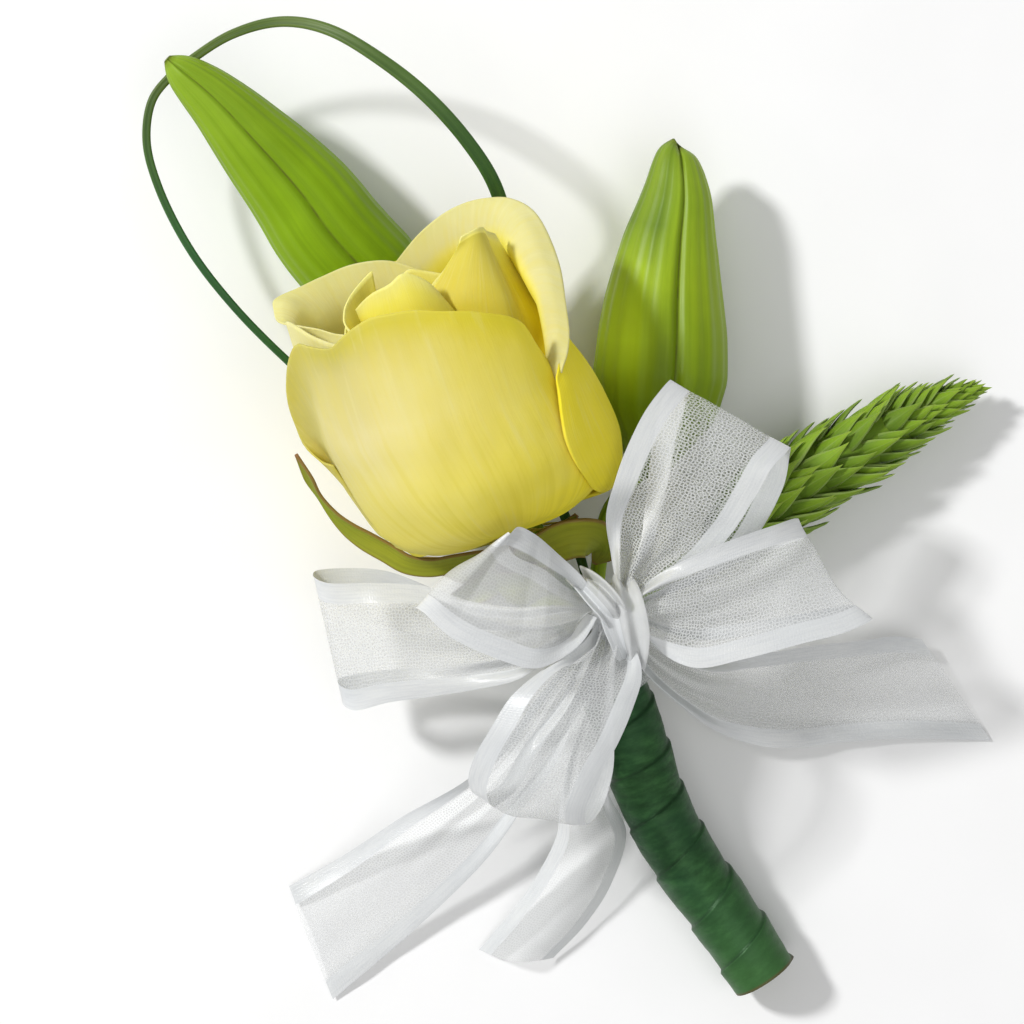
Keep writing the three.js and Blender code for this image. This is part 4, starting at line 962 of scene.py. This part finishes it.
# ---- ribbon bow ----
# Each strip runs between two edge lines, and a station is a point of the one and a point of the other.
# Where they come closer than the ribbon's width, the ribbon is folded into pleats just deep enough to
# keep that width, up to a limit. folds is the number of pleats, length that of the flat strip, veil how
# milky its net is, and arch bends the strip up in one wide arch instead.
PLEAT_LIMIT = 1.6
STRIPS = {
    "bow_loop_down": dict(folds=3, length=70, veil=0.85, stations=[
        (14.5, -20, 34.5, 18, -20.5, 34.5), (11.5, -23.5, 37, 21, -24, 37.5),
        (5.5, -26.5, 40, 22, -28, 40.5), (0, -31, 42, 20.5, -33, 42),
        (-3.5, -36.5, 41.5, 18, -39, 41.5), (-6.5, -42, 39.5, 15, -44.5, 39.5),
        (-7.5, -46.5, 36, 12.5, -51, 36.5), (-6, -49, 33, 13, -53.5, 33),
        (-2, -47, 30.5, 15.5, -51, 30.5), (2, -40.5, 29.6, 17.5, -44.5, 29.6),
        (8.5, -32.5, 30, 17.5, -35, 30), (15, -20.5, 31.6, 18, -21, 31.6)]),
    "bow_loop_front": dict(folds=2, limit=1.1, length=58, veil=1.3, stations=[
        (13.5, -14.5, 37, 13.5, -18, 36.6), (10.5, -10, 40, 10, -23.5, 39),
        (6.5, -6, 44, 4.5, -26.5, 41), (3.5, -3.5, 47.5, -2, -25, 42.4),
        (1, -2.5, 49.5, -10.5, -21, 43.2), (-0.5, -3.5, 50, -15, -17, 42.8),
        (-1, -4.5, 48, -16.5, -16, 40.5), (0.5, -7.5, 44.5, -14, -17, 38.2),
        (5.5, -10, 40.5, -6.5, -20, 36.6), (10, -13.5, 37, 5, -20.5, 35.4),
        (13.5, -14.5, 34.4, 13.5, -18, 34.2)]),
    "bow_loop_upper": dict(folds=3, length=76, veil=0.0, stations=[
        (18, -13.5, 34.3, 20.5, -15, 33.8), (17, -8, 36, 25, -12.5, 34.4),
        (16, -0.5, 38.8, 33, -8.5, 35.8), (17.5, 5.5, 40.8, 37.5, -3.5, 38),
        (19.5, 11, 41.6, 41.5, 3, 40), (22.5, 17, 41, 44, 7.5, 41),
        (25.5, 21, 39.3, 46.5, 10, 39.3), (27, 22.5, 37.3, 47.5, 11, 37.3),
        (26.5, 21, 35, 47.5, 9.5, 35), (24.5, 14, 32.8, 46.5, 4, 33),
        (23, 2, 31.4, 40.5, -6, 31.6), (22, -5.5, 31, 32.5, -10.5, 31),
        (18, -14, 31.2, 20.5, -15, 31.2)]),
    "bow_loop_right": dict(folds=3, length=76, veil=0.3, stations=[
        (20.5, -14.5, 36.2, 21, -19.5, 35), (24.5, -11, 37.8, 24, -23, 35.6),
        (33, -6.5, 39.6, 31, -26.5, 37.4), (39.5, -4, 39.6, 39.5, -25, 38),
        (45.5, -2, 38.2, 49, -22.5, 37.6), (48.5, -1, 36, 57, -20.5, 36.6),
        (49.5, -1, 34, 61.5, -18.5, 34.3), (48.5, -1.5, 32, 60.5, -18.5, 31.8),
        (43, -4, 29.9, 52.5, -20, 29.7), (36, -7.5, 28.6, 44, -21, 28.6),
        (28.5, -12, 28, 31, -22, 28), (21, -15.5, 28.3, 21, -18.5, 28.3)]),
    "bow_loop_left": dict(folds=3, length=98, veil=0.8, stations=[
        (13.5, -16.5, 30.6, 13.5, -19.5, 30.4), (8.5, -16, 28.8, 8.5, -24, 28.4),
        (1.5, -16.5, 26, 1.5, -29, 25.4), (-7.5, -15.5, 22.5, -6, -31, 22),
        (-15.5, -13, 20, -14.5, -32.5, 20), (-25, -12.5, 19, -21.5, -33.5, 18.8),
        (-32.5, -12.5, 18.3, -27.5, -35, 18), (-35, -11.5, 16.4, -29.5, -34.5, 16.2),
        (-35, -10.5, 13.8, -30, -33.5, 13.6), (-30.5, -10, 11.8, -26.5, -32.5, 11.6),
        (-22.5, -10.5, 11, -20, -31.5, 11), (-13, -14, 13, -12, -30.5, 13),
        (-2, -18.5, 19, -2, -27.5, 18.6), (6.5, -17.5, 24.5, 6, -24.5, 24),
        (13.5, -16.5, 27.8, 13.5, -20, 27.6)]),
    "bow_tail_left": dict(folds=3, length=84, veil=1.05, stations=[
        (14, -19.5, 25.8, 15.5, -21.5, 25.8), (10.5, -25, 24.6, 14.5, -28, 25),
        (5, -32, 20.5, 11.5, -35.5, 21.5), (-1, -40, 16.5, 8, -44, 17),
        (-7.5, -47, 12, 3, -51, 13), (-20, -55, 6.5, -4, -61.5, 8),
        (-31, -62.5, 2.5, -16.5, -74.5, 3), (-40.5, -68, 0.4, -32.5, -88.5, 0.4)]),
    "bow_tail_middle": dict(folds=3, arch=1, length=68, veil=1.3, stations=[
        (16.5, -21, 26, 18, -21.5, 26), (15.5, -26.5, 25.6, 18, -27, 25.6),
        (13.5, -33, 24, 16.5, -33.5, 24), (10.5, -42, 19, 16, -43, 19),
        (8.5, -51.5, 12, 17.5, -50.5, 13), (8, -58, 7.5, 20.5, -57.5, 8),
        (4, -66.5, 3.6, 18, -67, 4), (-1, -73.5, 1.8, 13.5, -74.5, 1.8),
        (-6, -79.5, 0.4, 7.5, -81, 0.4)]),
    "bow_tail_right": dict(folds=3, length=70, veil=0.6, stations=[
        (20.5, -19, 26.2, 19.5, -20.5, 26.2), (25, -22.5, 23.5, 23, -27.5, 22.5),
        (34, -26, 16.5, 30, -34.5, 15), (44, -25.5, 12, 38, -40, 8.5),
        (54.5, -24, 9, 48.5, -42.5, 4.5), (64.5, -23, 6, 61, -41.5, 2.2),
        (68.5, -22.5, 5, 73, -41, 1.2), (74, -23, 4, 87, -41.5, 0.4)]),
}


def pleat_depth(chord, shape, limit, width):
    """How deep the folds must be for the ribbon's full width to lie between its edges."""
    low, high = np.zeros(len(chord)), np.full(len(chord), limit)
    across = np.linspace(0, 1, shape.shape[1])
    for _ in range(18):
        middle = (low + high) / 2
        spans = np.diff(across)[None] * chord[:, None]
        rises = np.diff(shape, axis=1) * middle[:, None]
        short = np.hypot(spans, rises).sum(1) < width
        low, high = np.where(short, middle, low), np.where(short, high, middle)
    return low


def ribbon_points(strip, seed, columns=150, rows=72):
    """The points of a strip, and its flat map in millimetres."""
    stations = np.array(strip["stations"])
    first, second = Curve(stations[:, :3]), Curve(stations[:, 3:])
    s, v = steps(columns + 1), steps(rows + 1)
    edge_a, edge_b = first(s)[:, None], second(s)[:, None]
    flat = edge_a + (edge_b - edge_a) * v[None, :, None]
    chord = np.linalg.norm(edge_b - edge_a, axis=-1)[:, 0]
    normal = unit(np.cross(np.gradient(flat, axis=0), np.gradient(flat, axis=1)))
    rng = np.random.default_rng(seed)
    wide = smooth((chord - 8) / 12)[:, None]
    folds = strip["folds"]
    drift = rng.uniform(-0.5, 0.5, 3)
    tight = np.cos(FULL_TURN * folds * v + 0.3 * np.sin(5 * v + drift[0] * 6))
    tight = tight + 0.35 * np.sin(FULL_TURN * (folds * 1.6) * v + drift[1] * 6)
    loose = np.sin(math.pi * v) + 0.22 * np.sin(FULL_TURN * (1.6 * v + drift[0]))
    shape = tight[None] * (1 - wide) + loose[None] * wide
    width = strip.get("width", RIBBON_WIDTH)
    depth = pleat_depth(chord, shape, strip.get("limit", PLEAT_LIMIT), width)
    depth = np.convolve(np.pad(depth, 4, "edge"), np.ones(9) / 9, "valid")[:, None]
    offset = shape * depth
    if strip.get("arch"):
        spare = np.sqrt(np.maximum(0, RIBBON_WIDTH**2 - chord**2))[:, None]
        opened = smooth((chord - 5) / 7)[:, None]
        offset = offset * (1 - opened) + np.sin(math.pi * v)[None] * spare / 4 * opened
    offset = offset + 0.16 * ripples(flat, 9, seed + 1) * smooth((chord - 4) / 6)[:, None]
    mesh = flat + normal * offset[..., None]
    middle = mesh[:, rows // 2]
    along = np.concatenate([[0], np.cumsum(np.linalg.norm(np.diff(middle, axis=0), axis=1))])
    mapped = np.stack(np.broadcast_arrays(v[None] * width, along[:, None]), -1)
    return mesh, mapped


KNOT_BOTTOM = np.array([16.4, -19.5, 22.6])
KNOT_TOP = np.array([17, -17, 36.4])
KNOT_PROFILE = [(0, 3), (0.3, 3.3), (0.8, 3.8), (0.93, 3.2), (1, 1.0)]
KNOT_VEIL = 1.6
BAND_AT = 0.87  # where the band crosses the handle's curve
BAND_HALF_WIDTH = 3.5
KNOT_FOLDS = [
    ([(15.2, -11.8, 33.5, 20.2, -11.2, 33.2), (14.8, -13.2, 37.8, 21.4, -12.6, 37.4),
      (14.6, -16, 39.6, 22.6, -16, 39.4), (15.4, -19.5, 40, 23.4, -20.5, 39.4),
      (17, -22.8, 38.8, 23.2, -24.2, 38.6), (18.4, -25, 36.6, 22.8, -26.6, 36.4)], 31),
    ([(9.8, -12.2, 36.5, 12.2, -9.8, 36), (11.2, -13.6, 39, 14.2, -10.6, 38.6),
      (13, -15.8, 40.4, 16.4, -12.2, 40.2), (15, -18, 40.6, 18.4, -14.6, 40.6),
      (16.4, -19.8, 38.4, 19.4, -17.2, 38.4)], 47),
]


def make_knot(material):
    """The gathered ribbon at the middle of the bow, and its band round the taped handle."""
    knot = Piece()
    point, tangent, side, up = frame_at(handle, BAND_AT)
    t, angle = around(np.linspace(-BAND_HALF_WIDTH, BAND_HALF_WIDTH, 26), 80)
    folds = 0.22 * np.cos(5.2 * t + 0.8 * np.sin(2 * angle)) + 0.1 * np.sin(9 * angle + t)

    def round_handle(radius):
        sideways, upwards = ring(radius, angle)
        return point + tangent * t[..., None] + side * sideways[..., None] + up * upwards[..., None]

    band = round_handle(TAPE_RADIUS + 1.0 + folds * (1 - (np.abs(t) / BAND_HALF_WIDTH) ** 6))
    inner = round_handle(TAPE_RADIUS + 0.35)
    rings = np.concatenate([band, inner[::-1], band[:1]])
    flat = np.stack(np.broadcast_arrays(np.linspace(4, 18, len(rings))[:, None], angle[:1] * 7), -1)
    knot.add(rings, grid_faces(len(rings) - 1, 80, closed=True), flat, 1.0)
    t, angle = around(steps(60), 120)
    pleats = 0.5 + 0.5 * np.sin(7 * angle + 2.2 * t + 0.9 * np.sin(2 * angle + 4 * t))
    radius = soft_ramp(KNOT_PROFILE, t, 0.03) * (0.88 + 0.14 * pleats)
    line = KNOT_BOTTOM + (KNOT_TOP - KNOT_BOTTOM) * t[..., None]
    rings = line + np.stack([*ring(radius, angle), 0 * angle], -1)
    flat = np.stack([0.4 + 2.4 * np.abs(np.sin(angle * 1.5)), t * 15], -1)
    knot.tube(rings, flat, KNOT_VEIL)
    for stations, seed in KNOT_FOLDS:
        points, flat = ribbon_points(dict(stations=stations, folds=2, width=9), seed, 60, 32)
        knot.slab(points, flat, 0.2, KNOT_VEIL)
    return knot.build("ribbon_knot", material, "bow_knot")


def make_bow():
    material = ribbon_material()
    knot = make_knot(material)
    for seed, (node, strip) in enumerate(STRIPS.items()):
        piece = Piece()
        points, flat = ribbon_points(strip, 20 + seed)
        piece.sheet(points, flat, strip["veil"])
        made = piece.build(node.replace("bow", "ribbon"), material, node)


# ---- the whole corsage ----
def make_lily_buds():
    left_stops = [
        (0.0, (0.15, 0.26, 0.008)), (0.25, (0.22, 0.37, 0.006)), (0.6, (0.23, 0.39, 0.010)),
        (1.0, (0.26, 0.40, 0.03)),
    ]
    left_green = bud_material("lily_green_left", left_stops, (0.12, 0.21, 0.005), (0.28, 0.44, 0.02), 0.1)
    make_bud("lily_bud_left", LEFT_STALK, LEFT_AXIS, LEFT_WIDTHS, math.pi / 2, 0.07, left_green,
             "left_lily_bud")
    right_stops = [
        (0.0, (0.13, 0.21, 0.004)), (0.3, (0.22, 0.33, 0.006)), (0.55, (0.31, 0.44, 0.012)),
        (0.8, (0.30, 0.45, 0.02)), (1.0, (0.26, 0.38, 0.03)),
    ]
    # Painted light on the middle of the left lobe, where the rose casts its shadow.
    painted_light_patch = (
        (0.55, 0.76, 0.03),
        [(0.3, 0.0), (0.36, 0.9), (0.54, 0.9), (0.62, 0.0)],
        [(0.22, 0.0), (0.4, 1.0), (0.56, 0.3), (0.64, 0.0)],
    )
    # Painted shade on the top of the left lobe, where the key light falls.
    painted_shade_patch = (
        (0.10, 0.18, 0.006),
        [(0.27, 0.0), (0.34, 0.9), (0.54, 0.9), (0.62, 0.0)],
        [(0.6, 0.0), (0.74, 1.0), (0.9, 0.7)],
    )
    right_green = bud_material("lily_green_right", right_stops, (0.14, 0.22, 0.004), (0.37, 0.50, 0.04),
                               0.22, [painted_light_patch, painted_shade_patch])
    make_bud("lily_bud_right", RIGHT_STALK, RIGHT_AXIS, RIGHT_WIDTHS, math.pi / 2 - 0.2, 0.1, right_green,
             "right_lily_bud", 1.5)


make_tape()
make_bloom()
make_calyx()
make_lily_buds()
make_grass()
make_spike()
make_bow()


# ---- floor, light and camera, in metres ----
def make_floor():
    mesh = bpy.data.meshes.new("floor")
    reach = 3.0
    corners = [(-reach, -reach, 0), (reach, -reach, 0), (reach, reach, 0), (-reach, reach, 0)]
    mesh.from_pydata(corners, [], [(0, 1, 2, 3)])
    s = Shader("floor_white")
    grain = s.noise(s.place(), 40, 2.0)
    s.set(Base_Color=s.colours(grain, [(0.3, (0.90, 0.90, 0.90)), (0.7, (0.92, 0.92, 0.92))]), Roughness=0.9)
    mesh.materials.append(s.material)
    floor = add_object("floor", mesh)
    floor.location.z = -0.0002


def aim(thing, target):
    direction = Vector(target) - thing.location
    thing.rotation_euler = direction.to_track_quat("-Z", "Y").to_euler()


def add_light(name, place, size, power):
    data = bpy.data.lights.new(name, "AREA")
    data.size = size
    data.energy = power
    made = add_object(name, data)
    made.location = place
    aim(made, (0, 0, 0.02))


make_floor()
add_light("key", (-0.95, 0.50, 1.05), 0.17, 16.5)
add_light("fill_above", (0.30, -0.45, 1.5), 1.4, 7.0)
world = bpy.data.worlds.new("studio")
world.use_nodes = True
background = world.node_tree.nodes["Background"]
background.inputs["Color"].default_value = (1, 1, 1, 1)
background.inputs["Strength"].default_value = 0.37
scene = bpy.context.scene
scene.world = world
scene.view_settings.view_transform = "Standard"

CAMERA_HEIGHT = 600  # mm, straight above the middle of the view
VIEW_PIXELS = 1024
PIXELS_PER_MM = 5.5  # on the surface that the corsage lies on
SENSOR_WIDTH = 36
camera_data = bpy.data.cameras.new("camera")
camera_data.sensor_width = SENSOR_WIDTH
camera_data.lens = SENSOR_WIDTH * CAMERA_HEIGHT / (VIEW_PIXELS / PIXELS_PER_MM)
camera = add_object("camera", camera_data)
camera.location = (CENTRE_SHIFT[0] * MM, CENTRE_SHIFT[1] * MM, CAMERA_HEIGHT * MM)
scene.camera = camera
